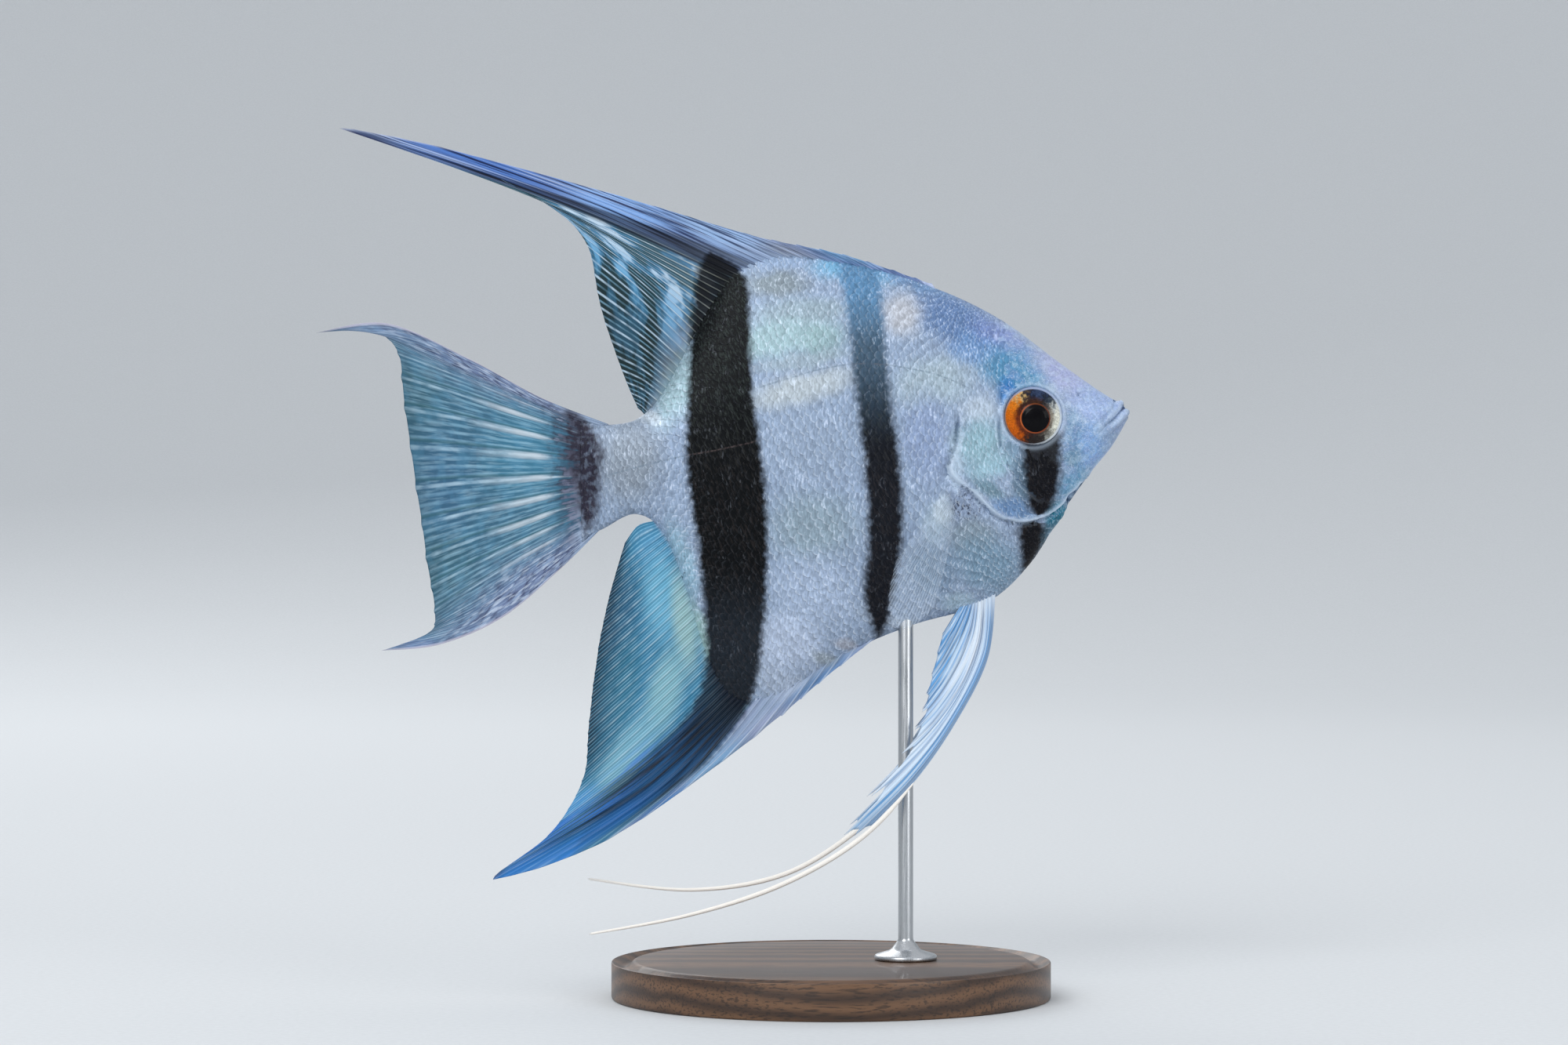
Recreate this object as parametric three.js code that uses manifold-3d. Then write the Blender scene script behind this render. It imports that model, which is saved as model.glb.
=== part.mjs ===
// A freshwater angelfish (Pterophyllum), life size, as a still display model on a stand.
// Millimetres, +Z up, head towards +X, the fish's right side towards -Y.
// The origin is the centre of the stand's underside; the fish's own outlines are
// given from the middle of its body, which stands BODY_HEIGHT above the floor.
import * as THREE from "three";
import { mergeVertices } from "three/addons/utils/BufferGeometryUtils.js";
import Module from "manifold-3d";

const wasm = await Module();
wasm.setup();

// ---------------------------------------------------------------- driving dimensions
const BODY_HEIGHT = 84; // floor to the middle of the body
const GAP = 0.3; // clear space between neighbouring pieces
const REACH = 20; // half the depth of a cutting prism, wider than the fish
const FAR = 60; // where a cutting outline runs well outside the fish
const THINNEST = 0.1; // least half thickness of a shrunken body
const BODY_STATIONS = 40; // rings from mouth to tail root
const RING_SIDES = 18;
const SLIT_STEPS = 6; // steps of a gap between two parts of a fin

const EYE_PLACE = [32.1, 4.5, 8.25]; // left eye's middle
const EYE_RADIUS = 4.6;
const EYE_DEPTH = 2.4; // half the eye's size from side to side
const EYE_SIDES = 16;

const COVER_PROUD = 0.4; // gill cover's height above the head
const COVER_DEPTH = 0.9; // and its depth below the head's surface

const FIN_ROOT = 1.1; // fin thickness where it leaves the body
const FIN_EDGE = 0.6; // and at its free edge
const WEB_THINNER = 0.75; // webs between the rays, as a share of the rays' thickness
const FIN_THINNEST = 0.5;
const WEB_NOTCH = 0.01; // how far short of the rays' tips the webs end, as a share
const SPINE_NOTCH = 0.14; // the same between stiff spines

const BASE_RADIUS = 35;
const BASE_HEIGHT = 6;
const BASE_BEVEL = 1;
const BASE_SIDES = 40;
const ROD_RADIUS = 1.2;
const ROD_X = 11.9;
const ROD_TOP = -21.5; // inside the belly
const ROD_SIDES = 12;
const FLANGE_RADIUS = 5;
const FLANGE_HEIGHT = 1.6;

const BODY_SILVER = "#9fb0c6";
const FIN_BLUE = "#5d93b8";
const PALE_BLUE = "#b9d3ea";
const EYE_ORANGE = "#8a3f10";
const STEEL = "#b8bcc0";
const WALNUT = "#4a3526";

// ---------------------------------------------------------------- curves
// Values of a table's columns at t in 0..1, on a Catmull-Rom spline through its rows.
function along(table, t) {
  const last = table.length - 1;
  const place = Math.min(Math.max(t, 0), 1) * last;
  const index = Math.min(Math.floor(place), last - 1);
  const f = place - index;
  const row = (k) => table[Math.min(Math.max(k, 0), last)];
  return table[0].map((_, column) => {
    const before = row(index - 1)[column];
    const start = row(index)[column];
    const end = row(index + 1)[column];
    const after = row(index + 2)[column];
    const square = 2 * before - 5 * start + 4 * end - after;
    const cube = 3 * (start - end) + after - before;
    return start + 0.5 * f * (end - before + f * (square + f * cube));
  });
}

// ---------------------------------------------------------------- solids
// A closed geometry as a manifold-3d solid, facing out.
function solidOf(geometry) {
  const bare = geometry.clone();
  bare.deleteAttribute("normal");
  bare.deleteAttribute("uv");
  const merged = mergeVertices(bare, 1e-4);
  const faces = [];
  for (let i = 0; i < merged.index.count; i += 3) {
    const face = Array.from(merged.index.array.slice(i, i + 3));
    if (new Set(face).size === 3) faces.push(...face);
  }
  return new wasm.Manifold(
    new wasm.Mesh({
      numProp: 3,
      vertProperties: merged.attributes.position.array,
      triVerts: new Uint32Array(faces),
    }),
  );
}

// A THREE.Mesh of the solid's largest piece, in a plain colour.
function meshOf(name, solid, color, { roughness = 0.45, metalness = 0 } = {}) {
  const largest = solid.decompose().sort((a, b) => b.volume() - a.volume())[0];
  const made = largest.getMesh();
  const positions = new Float32Array(made.numVert * 3);
  for (let i = 0; i < made.numVert; i++) {
    const start = i * made.numProp;
    positions.set(made.vertProperties.subarray(start, start + 3), i * 3);
  }
  const geometry = new THREE.BufferGeometry();
  geometry.setAttribute("position", new THREE.BufferAttribute(positions, 3));
  geometry.setIndex(new THREE.BufferAttribute(made.triVerts, 1));
  geometry.computeVertexNormals();
  const material = new THREE.MeshStandardMaterial({ color, roughness, metalness });
  const mesh = new THREE.Mesh(geometry, material);
  mesh.name = name;
  return mesh;
}

// A solid from rings of equally many points, with both ends closed by a fan.
function loft(rings) {
  const sides = rings[0].length;
  const points = rings.flat();
  const faces = [];
  for (let k = 0; k < rings.length - 1; k++) {
    for (let i = 0; i < sides; i++) {
      const a = k * sides + i;
      const b = k * sides + ((i + 1) % sides);
      faces.push([a, b, b + sides], [a, b + sides, a + sides]);
    }
  }
  for (const ring of [0, rings.length - 1]) {
    const centre = new THREE.Vector3();
    rings[ring].forEach((p) => centre.addScaledVector(p, 1 / sides));
    const hub = points.push(centre) - 1;
    for (let i = 0; i < sides; i++) {
      const a = ring * sides + i;
      const b = ring * sides + ((i + 1) % sides);
      faces.push(ring === 0 ? [hub, b, a] : [hub, a, b]);
    }
  }
  const geometry = new THREE.BufferGeometry().setFromPoints(points);
  geometry.setIndex(faces.flat());
  return solidOf(geometry);
}

// The upright prism that a closed outline in X and Z makes between two values of Y.
function prism(outline, lowY, highY) {
  const shape = new THREE.Shape(outline.map(([x, z]) => new THREE.Vector2(x, z)));
  const depth = highY - lowY;
  const geometry = new THREE.ExtrudeGeometry(shape, { depth, bevelEnabled: false });
  geometry.rotateX(Math.PI / 2);
  geometry.translate(0, highY, 0);
  return solidOf(geometry);
}

// A spline through a few points in X and Z, as many short steps.
function curve(points, steps) {
  return Array.from({ length: steps + 1 }, (_, i) => along(points, i / steps));
}

// The outline of a ribbon of the given width along a line of points.
function ribbon(line, width) {
  const left = [];
  const right = [];
  line.forEach(([x, z], i) => {
    const [x0, z0] = line[Math.max(i - 1, 0)];
    const [x1, z1] = line[Math.min(i + 1, line.length - 1)];
    const length = Math.hypot(x1 - x0, z1 - z0);
    const nx = (-(z1 - z0) / length) * (width / 2);
    const nz = ((x1 - x0) / length) * (width / 2);
    left.push([x + nx, z + nz]);
    right.unshift([x - nx, z - nz]);
  });
  return [...left, ...right];
}

// ---------------------------------------------------------------- body
// Stations from mouth to tail root: back x, z; belly x, z; half width; and fullness,
// the power that shapes a section: 0.5 is an ellipse, more gives thinner edges.
const BODY = [
  [46.6, 10.4, 47.5, 8.9, 1.2, 0.5],
  [42.5, 13.1, 45.0, 3.6, 3.0, 0.5],
  [36.3, 17.4, 41.4, -0.5, 4.7, 0.5],
  [29.0, 22.9, 37.1, -6.5, 5.8, 0.5],
  [22.8, 26.5, 31.6, -15.2, 6.6, 0.55],
  [16.3, 29.3, 24.6, -21.3, 7.0, 0.6],
  [8.0, 32.0, 13.0, -24.8, 7.0, 0.68],
  [-1.0, 33.8, 2.5, -29.3, 6.6, 0.76],
  [-9.0, 34.2, -8.0, -36.2, 6.0, 0.84],
  [-15.6, 31.6, -15.3, -37.2, 5.2, 0.84],
  [-20.0, 25.4, -19.8, -29.8, 4.4, 0.76],
  [-23.5, 18.6, -23.2, -18.8, 3.7, 0.66],
  [-27.2, 12.0, -26.8, -10.0, 3.1, 0.56],
  [-31.2, 8.2, -31.2, -7.1, 2.5, 0.5],
  [-36.6, 7.4, -36.2, -9.6, 1.9, 0.5],
];

// The body's closed skin, swollen by grow on every side, or shrunk where it is negative.
function bodySolid(grow) {
  const rings = [];
  for (let k = 0; k <= BODY_STATIONS; k++) {
    const [backX, backZ, bellyX, bellyZ, width, power] = along(BODY, k / BODY_STATIONS);
    const middle = new THREE.Vector3((backX + bellyX) / 2, 0, (backZ + bellyZ) / 2);
    const up = new THREE.Vector3(backX, 0, backZ).sub(middle);
    const half = up.length();
    up.multiplyScalar((half + grow) / half);
    if (k === 0) middle.x += grow;
    if (k === BODY_STATIONS) middle.x -= grow;
    const ring = [];
    for (let i = 0; i < RING_SIDES; i++) {
      const angle = (2 * Math.PI * i) / RING_SIDES;
      const thickness = Math.abs(Math.sin(angle)) ** (2 * power);
      const side = Math.sign(Math.round(Math.sin(angle) * 1e6));
      const point = middle.clone().addScaledVector(up, Math.cos(angle));
      point.y = side * Math.max(width * thickness + grow, THINNEST);
      ring.push(point);
    }
    rings.push(ring);
  }
  return loft(rings);
}

const body = bodySolid(0);
const bodyClear = bodySolid(GAP);

// The lines that part the flesh, seen from the side: the gill slit behind the head and
// below it, the mouth, the throat in front of the pelvic fins, and the tail's root.
const SLIT_REAR = curve([[22.5, 29.5], [21.5, 18], [20.6, 9], [19.1, 2], [19.3, -1.2]], 6);
const SLIT_BELOW = curve(
  [[19.3, -1.2], [20.8, -3.3], [24, -5.9], [28.2, -8.2], [32.6, -8], [36, -6], [41, -4]],
  9,
);
const MOUTH_LINE = curve([[48.8, 10.2], [46.4, 8.9], [42.6, 6.2], [41.6, 2.6], [42.2, -2.5]], 6);
const THROAT_LINE = curve([[19.3, -1.2], [21.4, -11], [27.6, -23]], 4);
const TAIL_LINE = [[-28, 12.5], [-28.4, 1], [-29.2, -10.5]];
const cuts = [SLIT_REAR, SLIT_BELOW, MOUTH_LINE, THROAT_LINE, TAIL_LINE]
  .map((line) => prism(ribbon(line, GAP), -REACH, REACH))
  .reduce((all, cut) => all.add(cut));

// What of a solid lies inside an outline seen from the side, clear of the cuts.
function within(outline, solid = body) {
  return solid.intersect(prism(outline, -REACH, REACH)).subtract(cuts);
}

// ---------------------------------------------------------------- eyes
function eyeSolid(side, grow) {
  const ball = new THREE.SphereGeometry(1, EYE_SIDES, EYE_SIDES / 2);
  ball.scale(EYE_RADIUS + grow, EYE_DEPTH + grow, EYE_RADIUS + grow);
  ball.translate(EYE_PLACE[0], side * EYE_PLACE[1], EYE_PLACE[2]);
  return solidOf(ball);
}

// ---------------------------------------------------------------- head
// The bony cover over the gills is a curved plate, a little proud of the head, in a
// pocket of its own depth. Its rear and lower edges lie along the gill slit.
const COVER_FRONT = curve(
  [[18, 7.4], [21.4, 10.4], [24, 10.6], [26, 8.4], [26.6, 5.2], [28.2, 1], [31.4, -2.8], [38, -6.6]],
  13,
);
const COVER_OUTLINE = [...COVER_FRONT, [38, -12], [24, -12], [14, -4], [14, 7.4]];
const HEAD_OUTLINE = [...SLIT_REAR, ...SLIT_BELOW, [FAR, -4], [FAR, FAR], [22.5, FAR]];
const JAW_OUTLINE = [...MOUTH_LINE, [FAR, -2.5], [FAR, 10.2]];

function headSolid() {
  const pocket = prism(COVER_OUTLINE, -REACH, REACH);
  return within(HEAD_OUTLINE)
    .subtract(prism(JAW_OUTLINE, -REACH, REACH))
    .subtract(pocket.subtract(bodySolid(-COVER_DEPTH - GAP)))
    .subtract(eyeSolid(-1, GAP))
    .subtract(eyeSolid(1, GAP));
}

function coverSolid(side) {
  const shell = bodySolid(COVER_PROUD).subtract(bodySolid(-COVER_DEPTH));
  const half = side > 0 ? [GAP, REACH] : [-REACH, -GAP];
  return within(HEAD_OUTLINE, shell)
    .intersect(prism(COVER_OUTLINE, ...half))
    .subtract(prism(ribbon(COVER_FRONT, 2 * GAP), -REACH, REACH));
}

// ---------------------------------------------------------------- throat, trunk, tail root
function throatSolid() {
  return within([...SLIT_BELOW, [FAR, -4], [FAR, -23], ...THROAT_LINE.toReversed()]);
}

function trunkSolid() {
  const front = [...SLIT_REAR, ...THROAT_LINE];
  const below = [[27.6, -FAR], [-29.2, -FAR]];
  const rear = [...below, ...TAIL_LINE.toReversed(), [-28, FAR], [22.5, FAR]];
  return within([...front, ...rear]).subtract(rodHole());
}

function tailBaseSolid() {
  return within([...TAIL_LINE, [-FAR, -10.5], [-FAR, 12.5]]);
}

// ---------------------------------------------------------------- fins
// A plate spread over rays, with the webs between them thinner. Each row of the table is
// one ray, as the x and z of points from its root to its tip. The rows run from right
// to left over the back and from left to right under the belly, seen from the fish's
// right. columns lie between two rows, every second one a ray, and steps from root to
// tip. lean(s, z) is the plate's sideways place at s, 0 at the root and 1 at the tip;
// notch is how far short of the rays' tips the webs end, and root the root's thickness.
function finPlate(rays, { columns, steps, lean, notch = WEB_NOTCH, root = FIN_ROOT }) {
  const count = (rays.length - 1) * columns;
  const right = [];
  const left = [];
  for (let i = 0; i <= count; i++) {
    const ray = along(rays, i / count);
    const web = i % 2;
    for (let j = 0; j <= steps; j++) {
      const s = (j / steps) * (1 - web * notch);
      const [x, z] = onRay(ray, s);
      const full = root + (FIN_EDGE - root) * s;
      const half = Math.max(web ? full * WEB_THINNER : full, FIN_THINNEST) / 2;
      right.push(new THREE.Vector3(x, lean(s, z) - half, z));
      left.push(new THREE.Vector3(x, lean(s, z) + half, z));
    }
  }
  const row = steps + 1;
  const shift = right.length;
  const faces = [];
  const quad = (a, b, c, d) => faces.push(a, b, c, a, c, d);
  for (let i = 0; i < count; i++) {
    for (let j = 0; j < steps; j++) {
      const a = i * row + j;
      quad(a, a + 1, a + row + 1, a + row);
      quad(shift + a, shift + a + row, shift + a + row + 1, shift + a + 1);
    }
  }
  const rim = [];
  for (let i = 0; i < count; i++) rim.push(i * row);
  for (let j = 0; j < steps; j++) rim.push(count * row + j);
  for (let i = count; i > 0; i--) rim.push(i * row + steps);
  for (let j = steps; j > 0; j--) rim.push(j);
  rim.forEach((a, k) => {
    const b = rim[(k + 1) % rim.length];
    quad(a, b, shift + b, shift + a);
  });
  const geometry = new THREE.BufferGeometry().setFromPoints([...right, ...left]);
  geometry.setIndex(faces);
  return solidOf(geometry);
}

// A point on a ray at s, 0 at its root and 1 at its tip.
function onRay(ray, s) {
  const points = [];
  for (let i = 0; i < ray.length; i += 2) points.push(ray.slice(i, i + 2));
  return along(points, s);
}

// A ribbon-shaped gap along a ray and on past both its ends, between two parts of a fin.
function raySlit(ray) {
  const line = Array.from({ length: SLIT_STEPS + 1 }, (_, i) => onRay(ray, i / SLIT_STEPS));
  const past = ([x0, z0], [x1, z1]) => [2 * x0 - x1, 2 * z0 - z1];
  line.unshift(past(line[0], line[1]));
  line.push(past(line.at(-1), line.at(-2)));
  return prism(ribbon(line, GAP), -REACH, REACH);
}

// The dorsal fin: 13 stiff spines that shorten towards the head, then 17 soft rays, of
// which the foremost are drawn out into a long streamer.
const DORSAL_SPINES = [
  [18.1, 27.4, 17, 28.6, 16, 29.9],
  [8.8, 30.6, 5.5, 32.7, 1.9, 34.5],
  [0, 32.4, -6.6, 35.4, -13.8, 37.9],
  [-7.5, 32.6, -20.3, 38.5, -33.8, 43.9],
];
const DORSAL_SOFT = [
  [-7.5, 32.6, -20.3, 38.5, -33.8, 43.9],
  [-12.8, 31.2, -35.7, 41.9, -62.5, 51.8],
  [-15.2, 29.5, -43.5, 42.5, -78.8, 54.9],
  [-17, 27, -36.7, 38.3, -57.5, 48.5],
  [-19, 24, -32.2, 34.2, -45, 42.2],
  [-21.2, 20.2, -30.4, 28.9, -39, 36],
  [-23.8, 16, -30.1, 21.4, -36.8, 26],
  [-26.5, 11.8, -29.9, 14.4, -33.4, 16],
  [-29.2, 8.2, -30.1, 9.3, -30.8, 9.9],
];
const DORSAL_SWING = 3; // how far the streamer's tip swings to the left
const DORSAL_STRAIGHT = 30; // height up to which the fin stands upright
const DORSAL_RISE = 25; // and the height from there to the tip

// The anal fin: 7 spines and 17 soft rays, the longest drawn out into a point.
const ANAL_SOFT = [
  [-27.2, -9.2, -28.7, -8.6, -30, -8],
  [-25.2, -12.5, -29.2, -13.9, -33.5, -14.4],
  [-23.1, -17.5, -29.4, -21.9, -35.8, -23.8],
  [-19.4, -28.1, -29.2, -36.2, -38.8, -40.6],
  [-17.8, -31.9, -28.7, -42.4, -39.5, -48.8],
  [-16.2, -35, -29.1, -47.3, -45, -58],
  [-14.4, -36.5, -30.1, -51, -53.8, -65.1],
  [-12.2, -36.2, -22.5, -48.3, -35.5, -58.8],
  [-3.8, -31.9, -7.5, -36.7, -12.2, -42.6],
];
const ANAL_SPINES = [
  [-3.8, -31.9, -7.5, -36.7, -12.2, -42.6],
  [3.1, -27.2, 0.9, -30.4, -1.9, -34],
  [9.4, -24.4, 8.5, -25.5, 7.5, -26.4],
];
const ANAL_SWING = -2.5; // its tip swings to the right
const ANAL_STRAIGHT = -25;
const ANAL_FALL = 40;

// The caudal fin: 17 rays, the outermost drawn out into thin tips.
const CAUDAL = [
  [-35.5, 7.4, -46.2, 11.6, -57.9, 17.9, -71, 23.5, -82.5, 22],
  [-35.5, 6.8, -45, 10, -54.4, 14.4, -64, 18.5, -73.8, 22.5],
  [-35.5, 5.5, -44, 8.8, -52.5, 12.2, -61, 15.6, -69.6, 18.8],
  [-35.5, 2.8, -43.8, 4.8, -51.9, 6.6, -60, 8.4, -68.4, 10],
  [-35.5, -0.8, -43.2, -1, -51, -1.5, -58.8, -2, -66.5, -2.8],
  [-35.5, -4.2, -42.9, -6.2, -50.2, -8.8, -57.5, -11.2, -64.9, -14],
  [-35.5, -6.5, -42.5, -10.2, -49.4, -14, -56.4, -18.2, -63.5, -22.5],
  [-35.5, -8, -42.8, -13.2, -50, -18.2, -57.2, -22.8, -64.6, -26],
  [-35.5, -9.5, -43.1, -16.1, -52.5, -23.5, -62.5, -27.8, -72, -28.8],
];
const CAUDAL_SWING = 2;

// A pelvic fin: a short blade of soft rays behind a spine, whose first ray runs on as a
// thread as long as the body. Both fins hang below the breast and part downwards.
const PELVIC = [
  [19.6, -20.8, 19.4, -22.4, 18.9, -24.0, 18.3, -25.5, 17.4, -27.0],
  [20.6, -20.5, 20.4, -23.7, 19.5, -26.8, 18.0, -29.8, 15.9, -32.6],
  [21.8, -20.2, 21.6, -25.0, 20.2, -29.5, 17.7, -34.0, 14.3, -38.2],
  [23.2, -19.9, 23.0, -27.0, 20.6, -33.8, 16.2, -40.2, 10.5, -46.2],
  [24.8, -19.6, 23.8, -29.0, 18.9, -39.0, 12.2, -47.8, 3.9, -55.8],
];
const THREAD_RIGHT = [
  [26.2, -19.4],
  [24.9, -30],
  [19.6, -40.4],
  [12.9, -49.8],
  [4.2, -58.7],
  [-8, -65.7],
  [-22.5, -70.4],
  [-38.4, -73.4],
];
const THREAD_LEFT = [
  [25.8, -19.4],
  [24.2, -30],
  [18.6, -40.3],
  [11.8, -49.4],
  [4.4, -57.5],
  [-7.5, -64.8],
  [-22.5, -67.3],
  [-39.1, -65.5],
];
const PELVIC_ROOT_Y = 1.4;
const PELVIC_ROOT_Z = -20;
const PELVIC_SPLAY = 0.07; // sideways run for each millimetre down
const THREAD_RADII = [0.45, 0.3]; // where it leaves the blade, and at its tip
const THREAD_START = 0.52; // share of the ray that the thread starts at, in the blade
const THREAD_SIDES = 6;
const THREAD_STEPS = 12;

// A pectoral fin: a short clear fan behind the gill cover, swung back against the flank.
const PECTORAL = [
  [19.0, -3.2, 14.5, -8.4, 10.0, -14.4],
  [19.0, -4.2, 13.6, -11.9, 8.8, -20.0],
  [19.1, -5.2, 14.4, -14.5, 9.6, -24.1],
  [19.4, -6.2, 16.0, -15.6, 12.2, -25.0],
  [19.8, -7.1, 18.0, -14.5, 16.0, -21.9],
];
const PECTORAL_ROOT_Y = 6.6;
const PECTORAL_REACH = 5; // how far its tip stands off from its root
const PECTORAL_THICKNESS = 0.8;

function dorsalLean(s, z) {
  return DORSAL_SWING * (Math.max(z - DORSAL_STRAIGHT, 0) / DORSAL_RISE) ** 2;
}

function analLean(s, z) {
  return ANAL_SWING * (Math.max(ANAL_STRAIGHT - z, 0) / ANAL_FALL) ** 2;
}

function dorsalSpiny() {
  const shape = { columns: 8, steps: 2, lean: dorsalLean, notch: SPINE_NOTCH };
  return finPlate(DORSAL_SPINES, shape)
    .subtract(raySlit(DORSAL_SPINES.at(-1)))
    .subtract(bodyClear);
}

function dorsalSoft() {
  return finPlate(DORSAL_SOFT, { columns: 4, steps: 5, lean: dorsalLean })
    .subtract(raySlit(DORSAL_SOFT[0]))
    .subtract(bodyClear);
}

function analSpiny() {
  const shape = { columns: 6, steps: 2, lean: analLean, notch: SPINE_NOTCH };
  return finPlate(ANAL_SPINES, shape)
    .subtract(raySlit(ANAL_SPINES[0]))
    .subtract(bodyClear);
}

function analSoft() {
  return finPlate(ANAL_SOFT, { columns: 4, steps: 5, lean: analLean })
    .subtract(raySlit(ANAL_SOFT.at(-1)))
    .subtract(bodyClear);
}

function caudalFin() {
  const lean = (s) => CAUDAL_SWING * s * s;
  return finPlate(CAUDAL, { columns: 4, steps: 5, lean }).subtract(bodyClear);
}

function pelvicFin(side, thread) {
  const lean = (s, z) => side * (PELVIC_ROOT_Y + PELVIC_SPLAY * (PELVIC_ROOT_Z - z));
  const front = thread.slice(0, 5).flat();
  const blade = finPlate([...PELVIC, front], { columns: 2, steps: 7, lean, notch: 0.06 });
  return blade.add(threadSolid(thread, lean)).subtract(bodyClear);
}

// A tapering thread along a line, from where it leaves the fin's blade.
function threadSolid(line, lean) {
  const across = new THREE.Vector3(0, 1, 0);
  const place = (s) => {
    const [x, z] = along(line, s);
    return new THREE.Vector3(x, lean(s, z), z);
  };
  const rings = [];
  for (let k = 0; k <= THREAD_STEPS; k++) {
    const f = k / THREAD_STEPS;
    const s = THREAD_START + (1 - THREAD_START) * f;
    const forward = place(s).sub(place(s - 0.01)).normalize();
    const up = across.clone().cross(forward).normalize();
    const radius = THREAD_RADII[0] + (THREAD_RADII[1] - THREAD_RADII[0]) * f;
    const ring = [];
    for (let i = 0; i < THREAD_SIDES; i++) {
      const angle = (2 * Math.PI * i) / THREAD_SIDES;
      const point = place(s).addScaledVector(up, radius * Math.cos(angle));
      ring.push(point.addScaledVector(across, radius * Math.sin(angle)));
    }
    rings.push(ring);
  }
  return loft(rings);
}

function pectoralFin(side) {
  const lean = (s) => side * (PECTORAL_ROOT_Y + PECTORAL_REACH * s);
  const shape = { columns: 2, steps: 4, lean, notch: 0.03, root: PECTORAL_THICKNESS };
  return finPlate(PECTORAL, shape).subtract(bodySolid(COVER_PROUD + GAP));
}

// ---------------------------------------------------------------- stand
// A turned solid about an upright axis from its half profile, radius and height.
function turned(profile, sides) {
  const points = profile.map(([radius, height]) => new THREE.Vector2(radius, height));
  const geometry = new THREE.LatheGeometry(points, sides);
  geometry.rotateX(Math.PI / 2);
  return solidOf(geometry);
}

// The hole in the belly that the rod's top stands in.
function rodHole() {
  const radius = ROD_RADIUS + GAP;
  const profile = [[0, -REACH], [radius, -REACH], [radius, 0], [0, 0]];
  return turned(profile, ROD_SIDES).translate([ROD_X, 0, ROD_TOP + GAP]);
}

function rodSolid() {
  const top = BODY_HEIGHT + ROD_TOP - BASE_HEIGHT;
  const profile = [
    [0, 0],
    [FLANGE_RADIUS, 0],
    [FLANGE_RADIUS, FLANGE_HEIGHT / 2],
    [ROD_RADIUS * 2, FLANGE_HEIGHT],
    [ROD_RADIUS, FLANGE_HEIGHT * 2],
    [ROD_RADIUS, top],
    [0, top],
  ];
  return turned(profile, ROD_SIDES).translate([ROD_X, 0, BASE_HEIGHT]);
}

function baseSolid() {
  const profile = [
    [0, 0],
    [BASE_RADIUS, 0],
    [BASE_RADIUS, BASE_HEIGHT - BASE_BEVEL],
    [BASE_RADIUS - BASE_BEVEL, BASE_HEIGHT],
    [0, BASE_HEIGHT],
  ];
  return turned(profile, BASE_SIDES);
}

// ---------------------------------------------------------------- the model
const fish = new THREE.Group();
fish.position.z = BODY_HEIGHT;
fish.add(
  meshOf("head", headSolid(), BODY_SILVER),
  meshOf("lower_jaw", within(JAW_OUTLINE), BODY_SILVER),
  meshOf("throat", throatSolid(), BODY_SILVER),
  meshOf("trunk", trunkSolid(), BODY_SILVER),
  meshOf("tail_base", tailBaseSolid(), BODY_SILVER),
  meshOf("dorsal_fin_spiny", dorsalSpiny(), FIN_BLUE),
  meshOf("dorsal_fin_soft", dorsalSoft(), FIN_BLUE),
  meshOf("anal_fin_spiny", analSpiny(), FIN_BLUE),
  meshOf("anal_fin_soft", analSoft(), FIN_BLUE),
  meshOf("caudal_fin", caudalFin(), FIN_BLUE),
);
for (const [name, side, thread] of [
  ["right", -1, THREAD_RIGHT],
  ["left", 1, THREAD_LEFT],
]) {
  fish.add(
    meshOf(`gill_cover_${name}`, coverSolid(side), PALE_BLUE),
    meshOf(`eye_${name}`, eyeSolid(side, 0), EYE_ORANGE, { roughness: 0.15 }),
    meshOf(`pectoral_fin_${name}`, pectoralFin(side), PALE_BLUE),
    meshOf(`pelvic_fin_${name}`, pelvicFin(side, thread), PALE_BLUE),
  );
}

const stand = new THREE.Group();
stand.add(
  meshOf("stand_base", baseSolid(), WALNUT, { roughness: 0.5 }),
  meshOf("stand_rod", rodSolid(), STEEL, { roughness: 0.3, metalness: 1 }),
);

export default new THREE.Group().add(fish, stand);
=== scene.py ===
import math

import bpy
import numpy as np
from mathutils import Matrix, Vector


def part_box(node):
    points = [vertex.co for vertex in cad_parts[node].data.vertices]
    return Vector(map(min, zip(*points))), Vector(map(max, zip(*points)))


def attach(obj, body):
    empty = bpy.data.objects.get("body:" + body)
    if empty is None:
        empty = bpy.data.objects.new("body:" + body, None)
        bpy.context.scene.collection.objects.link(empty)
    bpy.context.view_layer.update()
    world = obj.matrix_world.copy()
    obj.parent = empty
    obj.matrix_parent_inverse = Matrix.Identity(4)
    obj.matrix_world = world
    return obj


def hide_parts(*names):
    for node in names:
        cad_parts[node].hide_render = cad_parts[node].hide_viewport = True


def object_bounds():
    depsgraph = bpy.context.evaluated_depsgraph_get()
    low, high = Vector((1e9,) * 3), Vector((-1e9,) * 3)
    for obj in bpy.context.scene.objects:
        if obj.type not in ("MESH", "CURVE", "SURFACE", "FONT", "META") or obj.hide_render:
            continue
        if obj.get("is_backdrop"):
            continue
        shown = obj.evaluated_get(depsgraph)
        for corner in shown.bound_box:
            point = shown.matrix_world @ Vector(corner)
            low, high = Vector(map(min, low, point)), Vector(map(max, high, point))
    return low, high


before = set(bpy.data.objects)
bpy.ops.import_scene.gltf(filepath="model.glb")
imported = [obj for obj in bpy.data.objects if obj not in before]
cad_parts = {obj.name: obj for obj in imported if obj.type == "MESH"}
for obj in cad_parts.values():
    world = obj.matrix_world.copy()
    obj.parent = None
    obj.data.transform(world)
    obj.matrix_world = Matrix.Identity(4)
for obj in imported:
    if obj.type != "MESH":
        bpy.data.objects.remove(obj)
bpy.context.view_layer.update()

# ---------------------------------------------------------------- camera
# A long lens level with the middle of the fish and square to its right side, so that
# the outline is seen with hardly any foreshortening.
MM = 0.001
LENS = 100
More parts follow.
